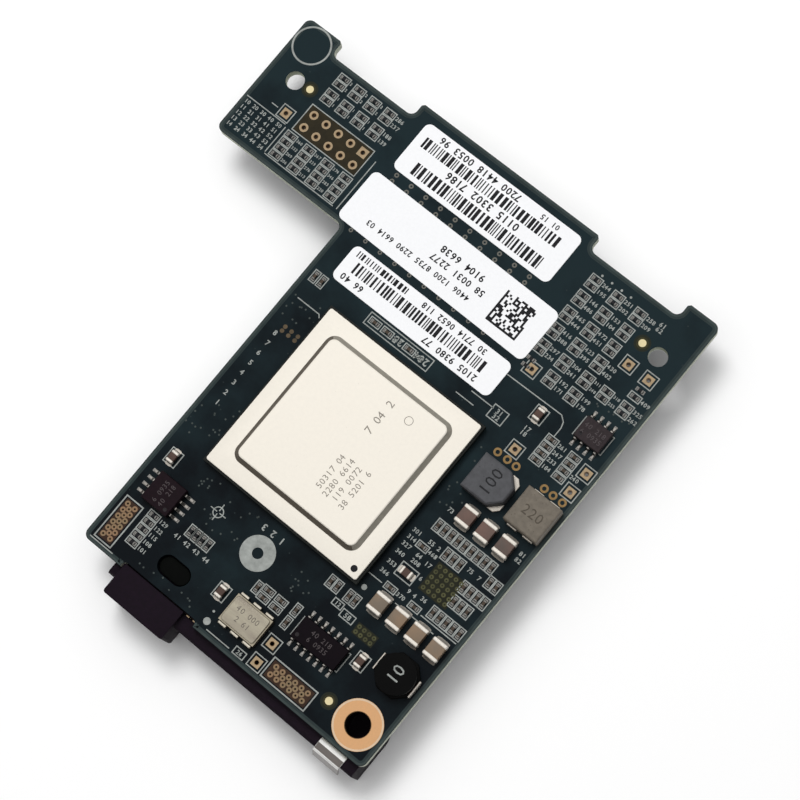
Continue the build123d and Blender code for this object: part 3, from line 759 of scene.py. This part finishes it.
class CardCopper(Operator):
    """Build the plated pads, via fields and the copper screw ring"""

    bl_idname = "card.copper"
    bl_label = "Pads and vias"

    def execute(self, context):
        thickness = context.scene.card_sizes.pad_thickness / MM
        self.plated_holes(thickness, context.scene.card_sizes.hole_radius / MM)
        self.fiducials(thickness)
        self.via_fields()
        self.single_vias(thickness)
        self.tented_vias()
        self.lead_pads(thickness)
        dressed("screw_pad", "copper_screw_ring", 0.03, 1, "bare_copper")
        low, high = card_box("screw_pad")
        x, y, radius = *card_middle("screw_pad").xy, (high.x - low.x) / 2
        # Painted highlight: a paler ring round the inner edge of the copper screw ring
        lip = Inlay(high.z - 0.02, 0.024)
        lip.ring(x, y, radius - 0.34, radius - 0.05, 64)
        lip.show("copper_screw_ring_painted_highlight", "copper_painted_highlight", "copper_pad")
        return {"FINISHED"}

    def plated_holes(self, thickness, hole):
        """Rings of the header and square test pads, each with its plated wall."""
        ring, first_pad, test_pad, wall = 0.74, 0.78, 0.75, 0.08
        pads = Inlay(0.0, thickness)
        walls = Inlay(-BOARD_THICKNESS, BOARD_THICKNESS + thickness)
        ground = Inlay(0.0, MASK_LAYER)
        under = Inlay(-BOARD_THICKNESS - thickness, thickness)
        for x, y in HEADER[:-1]:
            pads.ring(x, y, hole, ring)
        pads.square_ring(*HEADER[-1], hole, first_pad)
        for x, y in HEADER:
            ground.square_ring(x, y, hole, HEADER_PITCH / 2)
        for x, y in TEST_POINTS:
            pads.square_ring(x, y, hole, test_pad)
        for x, y in HEADER + TEST_POINTS:
            walls.ring(x, y, hole - wall, hole)
            if y - 1 > card_box("connector_housing")[1].y:
                under.ring(x, y, hole, ring)
        screw = card_middle("screw_pad").xy
        inner = min((on_card(v.co).xy - screw).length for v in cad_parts["screw_pad"].data.vertices)
        walls.ring(*screw, inner - 0.05, inner - 0.005, 40)
        pads.show("plated_hole_pads", "plated_gold", "land_gold")
        under.show("plated_hole_back_pads", "plated_gold", "land_gold")
        walls.show("plated_hole_walls", "brown_plating", "land_gold")
        ground.show("header_ground", "bare_header_ground", "solder_mask")

    def fiducials(self, thickness):
        """Bare alignment dots in a clear ring of laminate."""
        dot, halo, edge = 0.62, 0.95, 1.35
        dots = Inlay(0.0, thickness)
        rings = Inlay(0.0, 0.007)
        for x, y in FIDUCIALS:
            dots.disc(x, y, dot)
            rings.tint = 0
            rings.ring(x, y, dot, halo)
            rings.tint = 1
            rings.ring(x, y, halo, edge)
        dots.show("fiducial_dots", "bare_land", "land_gold")
        rings.show("fiducial_clearings", "clear_laminate clear_laminate_edge", "solder_mask")

    def via_fields(self):
        """Copper fields stitched with vias."""
        fields = Inlay(0.0, FIELD_LAYER)
        rings = Inlay(0.0, 2 * FIELD_LAYER)
        fields.plate(1.75, 4.35, 1.5, 8.75)
        fields.plate(35.85, 43.8, 1.35, 4.25)
        fields.tint = 2
        fields.plate(45.7, 51.1, 26.2, 31.4)
        fields.plate(42.1, 46.0, 14.7, 16.7)
        fields.tint = 1
        spots = []
        for i in range(6):
            for step, side in ((0.0, -0.72), (0.6, 0.0), (0.0, 0.72)):
                if step == 0.0 or i < 5:
                    spots.append((3.05 + side, 2.2 + 1.18 * i + step))
                    spots.append((36.65 + 1.26 * i + step, 2.8 + side))
        for x, y in spots:
            rings.ring(x, y, 0.17, 0.46, 16)
            # Painted shade: a dark disc in each via stands for its shaded hole
            fields.disc(x, y, 0.17, 12)
        rings.tint = 2
        cluster = [(46.3 + 1.05 * i, 26.8 + 1.0 * j) for i in range(5) for j in range(5)]
        cluster += [(42.6 + 0.95 * i, 15.2 + 0.95 * j) for i in range(4) for j in range(2)]
        for x, y in cluster:
            rings.ring(x, y, 0.13, 0.36, 14)
        rings.tint = 1
        for x, y in [(3.5 + 1.3 * i, 43.9 + 0.8 * j) for i in range(3) for j in range(2)]:
            rings.disc(x, y, 0.36, 14)
        fields.show("via_field_ground", "field_ground via_hole olive_ground", "copper_pad")
        rings.show("via_field_rings", "field_copper dim_copper olive_copper", "copper_pad")

    def single_vias(self, thickness):
        """Single via rings beside the power parts and along the labels."""
        single = Inlay(0.0, thickness)
        for x in (42.0, 43.9, 45.6, 51.1, 52.8, 54.6):
            single.ring(x, 49.9, 0.34, 0.68)
        single.tint = 1
        for i in range(10):
            for y, outer in ((74.3, 0.4), (73.1, 0.4), (63.0, 0.36)):
                single.ring(1.6 + 2.98 * i, y, 0.17, outer, 16)
        single.show("via_rings", "via_gold tented_via", "land_gold")

    def tented_vias(self):
        """Faint dots of vias that the mask covers."""
        draw = random.Random(11)
        dots = Inlay(0.0, 0.004)
        for left, right, front, back, count in (
            (1, 6, 46, 50.5, 12), (0.9, 6.6, 22, 30, 18), (8, 20, 17, 19.8, 14), (30, 33.4, 13.5, 17, 10),
            (12, 20, 13, 15, 10), (39.5, 43, 38, 50, 14), (49, 55.5, 63.5, 66, 10),
            (-14, -4, 76, 77, 6), (26, 33, 3, 9, 12), (8, 22, 1.5, 3, 10),
        ):
            for i in range(count):
                dots.disc(draw.uniform(left, right), draw.uniform(front, back), 0.16, 10)
        dots.show("covered_vias", "covered_via", "solder_mask")

    def lead_pads(self, thickness):
        """Solder pads under the leads of the moulded packages."""
        half, foot, rim = 0.26, 0.9, 0.25
        pads = Inlay(0.0, thickness)
        for name in PACKAGES:
            middle = card_middle(name + "_body")
            for low, high in solids_of(name + "_leads"):
                lead, size = (low + high) / 2, high - low
                out = lead - middle
                axis = 0 if abs(out.x) > abs(out.y) and size.x > size.y else 1
                end = high[axis] if out[axis] > 0 else low[axis]
                heel = end - math.copysign(foot, out[axis])
                spans = [(lead.x - half, lead.x + half), (lead.y - half, lead.y + half)]
                spans[axis] = min(end, heel) - rim, max(end, heel) + rim
                pads.plate(*spans[0], *spans[1])
        pads.show("lead_pads", "dull_solder", "solder")


class CardSilkscreen(Operator):
    """Print the white part outlines, lines and plain numbers"""

    bl_idname = "card.silkscreen"
    bl_label = "Silkscreen"

    def execute(self, context):
        sizes = context.scene.card_sizes
        self.line = sizes.ink_line / MM
        ink = sizes.ink_thickness / MM
        boxes, lines, texts = [Inlay(0.0, ink * rise, INK_WEIGHT) for rise in (1.0, 1.25, 1.5)]
        self.chip_outlines(boxes, texts)
        self.part_outlines(lines)
        self.guide_lines(lines)
        self.plain_marks(lines, texts)
        boxes.show("silkscreen_boxes", "screen_ink", "label_paper")
        lines.show("silkscreen_lines", "screen_ink", "label_paper")
        texts.show("silkscreen_numbers", "screen_ink", "label_paper")
        return {"FINISHED"}

    def chip_outlines(self, boxes, texts):
        """Box for every small chip, and a number where there is room after it."""
        places = chip_places("chip_resistors") + chip_places("chip_capacitors")
        for i, (x, y, turn) in enumerate(places):
            spot, ahead = Vector((x, y)), along(turn)
            half_x, half_y = (1.02, 0.55) if turn == 0 else (0.55, 1.02)
            if min((Vector(point) - spot).length for point in TEST_POINTS) < 2.2:
                continue
            boxes.outline(x - half_x, x + half_x, y - half_y, y + half_y, self.line)
            room = 2.0
            for other_x, other_y, other_turn in places:
                step = Vector((other_x, other_y)) - spot
                gap = step.dot(ahead)
                if gap > 0.5 and (step - ahead * gap).length < 1.2:
                    room = min(room, gap - 2.4)
            height = 0.68 if room > 1.7 else 0.5
            count = min(3, int(room / (NUMERAL_STEP * height)))
            half = NUMERAL_STEP / 2 * height * count
            spot += ahead * (1.2 + half)
            if count > 0 and turn == 0 and self.free(spot, half):
                texts.number(str(101 + i * 7 % 389)[:count], spot.x, spot.y, height)

    def free(self, spot, half):
        """Whether a number there stays off the test pads, the alignment dots and the tab's long line."""
        taken = [(x, y, 1.3, 1.2) for x, y in TEST_POINTS] + [(x, y, 1.4, 1.4) for x, y in FIDUCIALS]
        taken.append((-2.45, 69.1, 0.2, 5.0))
        return all(
            abs(spot.x - x) > wide + half or abs(spot.y - y) > deep + 0.4 for x, y, wide, deep in taken
        )

    def part_outlines(self, ink):
        """Boxes round the header, the test points, the via fields and the larger parts."""
        test_box, body_gap, field_line = 1.17, 0.25, 0.22
        ink.outline(-16.6, -3.7, 70.0, 75.2, self.line)
        for x, y in TEST_POINTS:
            ink.outline(x - test_box, x + test_box, y - test_box, y + test_box, self.line)
        ink.outline(1.4, 4.7, 1.15, 9.05, field_line)
        ink.outline(35.55, 44.1, 1.05, 4.55, field_line)
        for box in (
            (29.9, 31.9, 0.95, 2.15), (12.7, 25.3, 52.75, 54.9),
            (36.9, 38.7, 16.2, 17.3), (39.0, 41.4, 15.5, 16.8),
        ):
            ink.outline(*box, self.line)
        for node in ("logic_chip_body", "regulator_chip_body"):
            low, high = card_box(node)
            ink.outline(low.x - body_gap, high.x + body_gap, low.y + body_gap, high.y - body_gap, self.line)
        for low, high in solids_of("small_capacitors"):
            wide, deep = (0.45, 0.75) if high.x - low.x >= high.y - low.y else (1.0, 0.55)
            ink.outline(low.x - wide, high.x + wide, low.y - deep, high.y + deep, self.line)

    def guide_lines(self, ink):
        """Long lines, corner marks, dots and plain rings."""
        for points in (
            [(-26.0, 69.95), (-17.9, 69.95)], [(-17.5, 64.25), (-3.2, 64.25)], [(-2.45, 64.2), (-2.45, 74.0)],
            [(-17.6, 64.5), (-17.6, 69.6)], [(-22.0, 71.4), (-20.7, 71.4)],
            [(35.5, 60.2), (46.0, 60.4), (46.9, 59.7), (47.2, 58.8), (47.2, 57.0)],
            [(32.8, 54.8), (37.2, 54.8)], [(31.0, 53.2), (34.5, 53.2)],
            [(2.0, 49.5), (6.4, 49.5), (6.8, 49.0)],
            [(0.9, 0.7), (5.6, 0.7)], [(24.6, 1.1), (29.2, 1.1)], [(44.5, 22.3), (52.0, 22.3)],
            [(38.4, 23.4), (41.0, 23.4)], [(48.7, 23.3), (55.6, 23.3)],
        ):
            ink.path(points, self.line)
        for x, y, radius in ((39.3, 21.2, 0.45), (23.85, 2.1, 0.6), (23.7, 3.9, 0.2)):
            ink.disc(x, y, radius)
        ink.ring(-23.05, 82.6, 3.0, 3.3, 56)
        ink.ring(23.2, 14.9, 0.9, 2.85, 48)

    def plain_marks(self, lines, texts):
        """Plain numbers of the parts, a table of numbers, dots and a target."""
        for i in range(5):
            texts.number(" ".join(str(10 * j + 10 + i) for j in range(5)), -21.95, 69.2 - 1.14 * i, 0.68)
        for i, y in enumerate((80.8, 79.9)):
            texts.number(str(61 + i), 49.4, y, 0.75)
            texts.number(str(31 + i), 38.35, y - 26.0, 0.8)
            texts.number(str(17 + i), 43.2, y - 25.3, 0.75)
        lines.outline(37.0, 39.7, 53.2, 55.5, self.line)
        for x in (37.2, 39.1, 41.0, 42.8):
            lines.disc(x, 81.3, 0.2, 12)
        for i, y in enumerate((32.8, 31.5, 30.2, 28.7, 26.7, 25.0)):
            texts.number(str(301 + 13 * i), 40.2, y, 0.7)
        for i in range(8):
            texts.number(str(i + 1), 2.9, 29.0 + 2.0 * i, 0.85)
        for i, x in enumerate((11.8, 13.7, 15.6, 17.6)):
            texts.number(str(41 + i), x, 9.1, 0.75)
        for text, x, y in (
            ("73", 42.1, 38.5), ("81", 54.9, 40.0), ("82", 54.9, 38.9), ("55 2", 43.6, 32.8),
            ("64", 42.8, 30.1), ("17", 44.7, 29.9), ("208", 43.0, 29.0), ("9 4", 45.6, 25.0),
            ("36", 47.6, 25.4), ("75", 50.3, 33.2), ("7", 52.0, 33.1), ("6", 45.2, 27.6),
        ):
            texts.number(text, x, y, 0.72)
        for text, x, y, height, turn in (
            ("26", 30.9, 1.55, 0.7, 0), ("12", 37.8, 16.75, 0.65, 0), ("58", 40.2, 16.15, 0.8, 0),
            ("1 2 3", 23.2, 18.6, 1.1, 180), ("25", 18.9, 53.8, 1.2, 180), ("204", 23.5, 53.8, 1.2, 180),
        ):
            texts.number(text, x, y, height, turn)
        middle = Vector((14.3, 15.9))
        texts.ring(*middle, 0.75, 0.92)
        for turn in (0, 180, 90, 270):
            lines.path([middle + along(turn) * 0.25, middle + along(turn) * 1.5], self.line)


class CardController(Operator):
    """Build the controller's substrate, balls, die and stamped lid"""

    bl_idname = "card.controller"
    bl_label = "Controller"

    def execute(self, context):
        dressed("controller_substrate", "controller_laminate", 0.05, 1, "package_laminate")
        shown(self.stamped_lid(), "controller_stamped_lid", "stamped_nickel fold_in_shade fold_in_light",
              ["controller_lid"])
        dressed("controller_balls", "controller_solder_balls", 0.08, 2, "tinned_metal")
        dressed("controller_die", "controller_bare_die", 0.05, 1, "bare_silicon")
        self.marks()
        return {"FINISHED"}

    def stamped_lid(self):
        """The lid, with painted shade on the lower part of its island's wall where it faces towards -X and
        -Y, and painted light where it faces the other way.
        """
        top = card_box("controller_lid")[1].z
        fold, foot = top - 0.14, top - 0.86

        # Painted shade on the island wall's lower faces turned towards -X and -Y, painted light on the others
        def side(normal, spot, tint):
            if 0.2 < normal.z < 0.97 and foot < spot.z < fold:
                return 1 if normal.x + normal.y < 0 else 2
            return tint

        lid = sunk(rounded("controller_lid", 0.1, 2))
        return tinted(divided(lid, card_point(0, 0, fold), (0, 0, 1)), side)

    def marks(self):
        """Corner dot and plain laser numbers on the lid."""
        top = card_box("controller_lid")[1].z
        marks = Inlay(top - PRINT_ROOM, 0.008)
        for i, text in enumerate(("50317 04", "2280 6614", "119 0072", "38 5201 6")):
            marks.number(text, 24.5 + 1.6 * i, 31.5, 1.0, 90)
        marks.number("7 04 2", 25.0, 42.5, 1.3, 90)
        marks.ring(28.9, 44.9, 0.62, 0.72)
        marks.show("lid_laser_marks", "laser_mark", "nickel_lid")
        dot = Inlay(top - 0.85, 0.008)
        dot.disc(36.7, 22.35, 0.55, 24)
        dot.show("lid_corner_dot", "black_print", "epoxy_black")


class CardConnector(Operator):
    """Build the stacking connector with its contacts and spring clip"""

    bl_idname = "card.connector"
    bl_label = "Connector"

    def execute(self, context):
        housing = rounded("connector_housing", 0.12, 2)
        # Painted shade: the peg's faces inside the slot take a darker plastic
        tinted(housing, lambda normal, spot, tint: 1 if spot.z > -BOARD_THICKNESS and in_slot(spot) else 0)
        shown(housing, "connector_moulding", "connector_plastic plastic_in_slot",
              ["connector_housing"])
        dressed("connector_contacts", "connector_spring_contacts", 0.04, 1, "plated_gold")
        # Painted highlight: the clip's strip nearest the board and its sloping bend faces take a bright steel
        roll = card_box("connector_clip")[1].y - 0.92
        clip = divided(rounded("connector_clip", 0.05, 2), card_point(0, roll), (0, 1, 0))
        tinted(clip, lambda normal, spot, tint: 1 if spot.y > roll or 0.45 < normal.z < 0.98 else 0)
        shown(clip, "connector_spring_clip", "brushed_steel bent_steel", ["connector_clip"])
        return {"FINISHED"}


class CardPackages(Operator):
    """Build the three moulded packages with gull-wing leads"""

    bl_idname = "card.packages"
    bl_label = "Moulded packages"

    def execute(self, context):
        dimple, edge, gap = 0.32, 0.85, 1.2
        for name, turn, side_x, side_y in zip(PACKAGES, (0, 90, 0), (-1, 1, -1), (-1, -1, -1)):
            dressed(name + "_body", name + "_moulding", 0.1, 3, name + "_epoxy")
            dressed(name + "_leads", name + "_tinned_leads", 0.04, 2, "dull_tin")
            low, high = card_box(name + "_body")
            middle, half = (low + high) / 2, (high - low) / 2
            marks = Inlay(high.z, PRINT_LAYER)
            marks.disc(middle.x + side_x * (half.x - edge), middle.y + side_y * (half.y - edge), dimple)
            marks.tint = 1
            across = Vector((0, gap)) if turn == 0 else Vector((gap, 0))
            for share, text in ((0.5, "40 218"), (-0.5, "6 0935")):
                marks.number(text, *(middle.xy + across * share), 0.8, turn)
            marks.show(name + "_marks", "pin_one_dimple package_print", "epoxy_black")
        return {"FINISHED"}


class CardOscillator(Operator):
    """Build the oscillator can"""

    bl_idname = "card.oscillator"
    bl_label = "Oscillator"

    def execute(self, context):
        base = rounded("oscillator_base", 0.06, 1)
        tinted(base, lambda normal, spot, tint: 1 if normal.z > 0.9 else 0)
        shown(base, "oscillator_ceramic", "brown_ceramic seal_ring", ["oscillator_base"])
        dressed("oscillator_lid", "oscillator_can_lid", 0.12, 3, "plated_can")
        dressed("oscillator_lands", "oscillator_solder_lands", 0.15, 3, "bright_land")
        middle = card_middle("oscillator_lid")
        marks = Inlay(card_box("oscillator_lid")[1].z, PRINT_LAYER)
        marks.number("40 000", middle.x, middle.y + 0.75, 0.9)
        marks.number("2 61", middle.x, middle.y - 0.75, 0.9)
        marks.show("oscillator_marks", "can_print", "can_lid")
        return {"FINISHED"}


class CardInductors(Operator):
    """Build the three inductors with their terminals"""

    bl_idname = "card.inductors"
    bl_label = "Inductors"

    def execute(self, context):
        for kind, part, form, edge, finish, slot in (
            ("cut_corner_inductor", "body", "block", 0.08, "pressed_powder", "inductor_grey"),
            ("cut_corner_inductor", "terminals", "feet", 0.05, "tinned_metal", "tinned_lead"),
            ("square_inductor", "body", "block", 0.12, "beige_powder", "inductor_beige"),
            ("square_inductor", "terminals", "straps", 0.06, "tinned_metal", "tinned_lead"),
            ("drum_inductor", "core", "ferrite", 0.1, "black_ferrite", "ferrite_black"),
            ("drum_inductor", "winding", "wire", 0.1, "winding_wire", "winding_copper"),
            ("drum_inductor", "terminals", "clips", 0.06, "tinned_metal", "tinned_lead"),
        ):
            mesh = rounded(f"{kind}_{part}", edge, 2)
            if part in ("body", "core"):
                sunk(mesh)
            shown(mesh, f"{kind}_{form}", finish, [f"{kind}_{part}"])
        for node, text, height, turn, finish, slot in (
            ("cut_corner_inductor_body", "100", 1.9, 90, "inductor_print", "inductor_grey"),
            ("square_inductor_body", "220", 1.6, 0, "faint_print", "inductor_beige"),
            ("drum_inductor_core", "10", 1.9, 90, "screen_ink", "ferrite_black"),
        ):
            marks = Inlay(card_box(node)[1].z - PRINT_ROOM, 0.006)
            marks.number(text, *card_middle(node).xy, height, turn)
            marks.show(node + "_marks", finish, slot)
        return {"FINISHED"}


class CardCapacitors(Operator):
    """Build the ceramic capacitors with their metal ends and solder joints"""

    bl_idname = "card.capacitors"
    bl_label = "Ceramic capacitors"

    def execute(self, context):
        for node, name, finish, slot in (
            ("upper_bulk_capacitors", "upper_capacitor_blocks", "red_ceramic", "capacitor_red"),
            ("lower_bulk_capacitors", "lower_capacitor_blocks", "tan_ceramic", "capacitor_tan"),
            ("small_capacitors", "small_capacitor_blocks", "umber_ceramic", "capacitor_tan"),
        ):
            dressed(node, name, 0.08, 2, finish)
        bulk = ("upper_bulk_capacitors", "lower_bulk_capacitors")
        for ends, name, bodies, reach in (
            ("bulk_capacitor_ends", "large_capacitor", bulk, 0.45),
            ("small_capacitor_ends", "small_capacitor", ("small_capacitors",), 0.5),
        ):
            caps, joints = rounded(ends, 0.2, 3), bmesh.new()
            middles = [(low + high) / 2 for node in bodies for low, high in solids_of(node)]
            for low, high in solids_of(ends):
                self.solder_end(caps, joints, low, high, middles, reach)
            shown(caps, name + "_caps", "end_tin", [ends])
            shown(joints, name + "_joints", "tinned_metal")
        return {"FINISHED"}

    def solder_end(self, caps, joints, low, high, middles, reach):
        """Lap one metal end over its block, and add the solder fillet at its foot."""
        lap, slack = 0.08, 0.01
        end, half = (low + high) / 2, (high - low) / 2
        away = end - min(middles, key=lambda middle: (middle - end).length)
        axis = 0 if abs(away.x) > abs(away.y) else 1
        out = Vector((0, 0))
        out[axis] = math.copysign(1, away[axis])
        for vertex in caps.verts:
            step = on_card(vertex.co) - end
            if abs(step.x) < half.x + slack and abs(step.y) < half.y + slack and step.xy.dot(out) < 0:
                vertex.co -= out.to_3d() * lap * MM
        fillet(joints, end.xy + out * half[axis], out, half[1 - axis] * 0.9, high.z * 0.5, reach)


class CardChips(Operator):
    """Build the small chip resistors and capacitors with their soldered ends"""

    bl_idname = "card.chips"
    bl_label = "Chips"

    def execute(self, context):
        for node, name, finish, slot in (
            ("chip_resistors", "soldered_resistors", "resistor_glaze", "chip_black"),
            ("chip_capacitors", "soldered_capacitors", "chip_ceramic", "chip_brown"),
        ):
            places = chip_places(node)
            mesh = stamped(self.chip(), places)
            half_length, half_width, rise, reach = 0.5, 0.24, 0.24, 0.3
            for x, y, turn in places:
                for out in (-along(turn), along(turn)):
                    fillet(mesh, Vector((x, y)) + out * half_length, out, half_width, rise, reach, 1)
            shown(mesh, name, finish + " dull_solder", [node])
        return {"FINISHED"}

    def chip(self):
        """One chip along X: body, wrapped ends and pads."""
        mesh = bmesh.new()
        brick(mesh, (-0.3, -0.24, 0.02), (0.3, 0.24, 0.34), 0.03, 0)
        for side in (-1, 1):
            inner, outer = sorted((side * 0.28, side * 0.5))
            brick(mesh, (inner, -0.25, 0.01), (outer, 0.25, 0.35), 0.05, 1)
            inner, outer = sorted((side * 0.3, side * 0.8))
            brick(mesh, (inner, -0.32, 0.0), (outer, 0.32, 0.018), 0.0, 1)
        return mesh


class CardLabels(Operator):
    """Dress the paper labels and print plain bars and numbers on them"""

    bl_idname = "card.labels"
    bl_label = "Labels"

    def execute(self, context):
        for node in ("upper_label", "middle_label", "lower_label"):
            dressed(node, node + "_paper", 0.03, 1, "sticker_paper")
        ink = Inlay(card_box("upper_label")[1].z, 0.006, LABEL_WEIGHT)
        draw = random.Random(7)
        for left, right, front, back in (
            (1.5, 29.0, 80.2, 82.1), (3.0, 28.5, 75.8, 78.0),
            (5.0, 15.0, 60.2, 61.3), (6.0, 32.0, 57.7, 59.7),
        ):
            self.bars(ink, draw, left, right, front, back)
        for text, x, y, height in (
            ("7200 4418 0053 96", 11.5, 83.0, 1.2), ("01 15", 25.5, 83.0, 0.9),
            ("0115 3302 7186", 15.0, 79.1, 1.3), ("4406 1200 8735 2290 6614 03", 13.0, 65.6, 0.95),
            ("58 0031 2277", 19.5, 67.6, 1.1), ("9104 6638", 19.0, 69.5, 1.2),
            ("30 7714 0652 118", 24.5, 60.7, 1.0), ("66 40", 7.2, 56.5, 1.1),
            ("2105 9380 77", 27.0, 56.5, 1.1),
        ):
            ink.number(text, x, y, height, 180)
        self.block_code(ink, draw, 27.2, 64.9, 5.8, 16)
        ink.show("label_print", "black_print", "epoxy_black")
        return {"FINISHED"}

    def bars(self, ink, draw, left, right, front, back):
        """Row of upright bars of varied width."""
        x = left
        while x < right:
            width = draw.choice((0.2, 0.2, 0.4, 0.6))
            ink.plate(x, x + width, front, back)
            x += width + draw.choice((0.2, 0.3, 0.4))

    def block_code(self, ink, draw, left, front, side, cells):
        """Square of scattered cells with two solid sides."""
        cell = side / cells
        for i in range(cells):
            for j in range(cells):
                if i == 0 or j == 0 or draw.random() < 0.48:
                    x, y = left + i * cell, front + j * cell
                    ink.plate(x, x + cell, y, y + cell)


class CardStage(Operator):
    """Set the pale floor, soft light and the camera"""

    bl_idname = "card.stage"
    bl_label = "Stage"

    def execute(self, context):
        settings = context.scene.card_stage
        self.floor()
        self.world(context.scene, settings)
        self.key_light(context.scene, settings)
        self.camera(context.scene, settings)
        context.scene.view_settings.view_transform = "Standard"
        return {"FINISHED"}

    def floor(self):
        """Large pale sheet, brought up to white where it is seen directly."""
        mesh = bmesh.new()
        bmesh.ops.create_grid(mesh, x_segments=8, y_segments=8, size=FLOOR_HALF)
        data = bpy.data.meshes.new("studio_floor")
        mesh.to_mesh(data)
        mesh.free()
        sheet = look("floor_sheet")
        tree = sheet.node_tree
        path = add(tree, "LightPath")
        seen = add(tree, "Math", operation="MAXIMUM")
        seen_all = add(tree, "Math", operation="MAXIMUM")
        strength = add(tree, "Math", {1: FLOOR_LIFT}, operation="MULTIPLY")
        lift = add(tree, "Emission")
        both = add(tree, "AddShader")
        wire(
            tree,
            (path, "Is Camera Ray", seen, 0), (path, "Is Glossy Ray", seen, 1),
            (seen, 0, seen_all, 0), (path, "Is Transmission Ray", seen_all, 1),
            (seen_all, 0, strength, 0), (strength, 0, lift, "Strength"),
            (tree.nodes["Principled BSDF"], 0, both, 0), (lift, 0, both, 1),
            (both, 0, tree.nodes["Material Output"], "Surface"),
        )
        data.materials.append(sheet)
        floor = bpy.data.objects.new("studio_floor", data)
        bpy.context.scene.collection.objects.link(floor)

    def world(self, scene, settings):
        """Sky that is bright overhead and falls off all round."""
        world = bpy.data.worlds.new("studio_sky")
        world.use_nodes = True
        tree = world.node_tree
        sky = tree.nodes["Background"]
        sky.inputs["Color"].default_value = (1.0, 1.0, 1.0, 1.0)
        place = add(tree, "TexCoord")
        overhead = Vector((-0.1, 0.15, 0.98)).normalized()
        facing = add(tree, "VectorMath", {1: overhead}, operation="DOT_PRODUCT")
        fall = add(tree, "MapRange", {
            "From Min": 0.4, "From Max": 0.95, "To Min": settings.horizon, "To Max": settings.sky,
        }, interpolation_type="SMOOTHSTEP")
        wire(
            tree,
            (place, "Generated", facing, 0), (facing, "Value", fall, "Value"),
            (fall, "Result", sky, "Strength"),
        )
        scene.world = world

    def key_light(self, scene, settings):
        """Soft panel high over the card's upper left."""
        lamp = bpy.data.lights.new("soft_panel", "AREA")
        lamp.energy = settings.key_power
        lamp.shape = "SQUARE"
        lamp.size = PANEL_SIZE
        panel = bpy.data.objects.new("soft_panel", lamp)
        toward = Vector((-0.3, 0.25, 0.92)).normalized()
        panel.location = toward * PANEL_DISTANCE
        panel.rotation_mode = "QUATERNION"
        panel.rotation_quaternion = (-toward).to_track_quat("-Z", "Y")
        panel.visible_glossy = False
        scene.collection.objects.link(panel)

    def camera(self, scene, settings):
        """Camera above the lower right of the card, turned as the picture is."""
        data = bpy.data.cameras.new("product_camera")
        data.sensor_width = 36.0
        data.lens = settings.lens
        data.clip_start, data.clip_end = 0.01, 20.0
        camera = bpy.data.objects.new("product_camera", data)
        around, above = settings.azimuth, settings.elevation
        back = Vector((
            math.sin(around) * math.cos(above), -math.cos(around) * math.cos(above), math.sin(above),
        ))
        camera.location = Vector(settings.aim) + back * settings.distance
        camera.rotation_mode = "QUATERNION"
        level = (-back).to_track_quat("-Z", "Y")
        camera.rotation_quaternion = level @ Quaternion((0, 0, 1), settings.roll)
        scene.collection.objects.link(camera)
        scene.camera = camera


PIECES = (
    CardBoard, CardCopper, CardSilkscreen, CardController, CardConnector, CardPackages, CardOscillator,
    CardInductors, CardCapacitors, CardChips, CardLabels, CardStage,
)


class CardPanel(Panel):
    """Sidebar list of the card's pieces"""

    bl_idname = "VIEW3D_PT_adapter_card"
    bl_label = "Adapter Card"
    bl_space_type = "VIEW_3D"
    bl_region_type = "UI"
    bl_category = "Adapter Card"

    def draw(self, context):
        for piece in PIECES:
            self.layout.operator(piece.bl_idname)


CLASSES = (CardColours, CardSizes, StageSettings, *PIECES, CardPanel)


def register():
    """Make the settings, operators and panel known to Blender."""
    for made in CLASSES:
        bpy.utils.register_class(made)
    bpy.types.Scene.card_colours = PointerProperty(type=CardColours)
    bpy.types.Scene.card_sizes = PointerProperty(type=CardSizes)
    bpy.types.Scene.card_stage = PointerProperty(type=StageSettings)


def unregister():
    """Take them out again."""
    del bpy.types.Scene.card_stage
    del bpy.types.Scene.card_sizes
    del bpy.types.Scene.card_colours
    for made in reversed(CLASSES):
        bpy.utils.unregister_class(made)


def main():
    """Dress the card piece by piece."""
    register()
    bpy.ops.card.board()
    bpy.ops.card.copper()
    bpy.ops.card.silkscreen()
    bpy.ops.card.controller()
    bpy.ops.card.connector()
    bpy.ops.card.packages()
    bpy.ops.card.oscillator()
    bpy.ops.card.inductors()
    bpy.ops.card.capacitors()
    bpy.ops.card.chips()
    bpy.ops.card.labels()
    bpy.ops.card.stage()


if __name__ == "__main__":
    main()
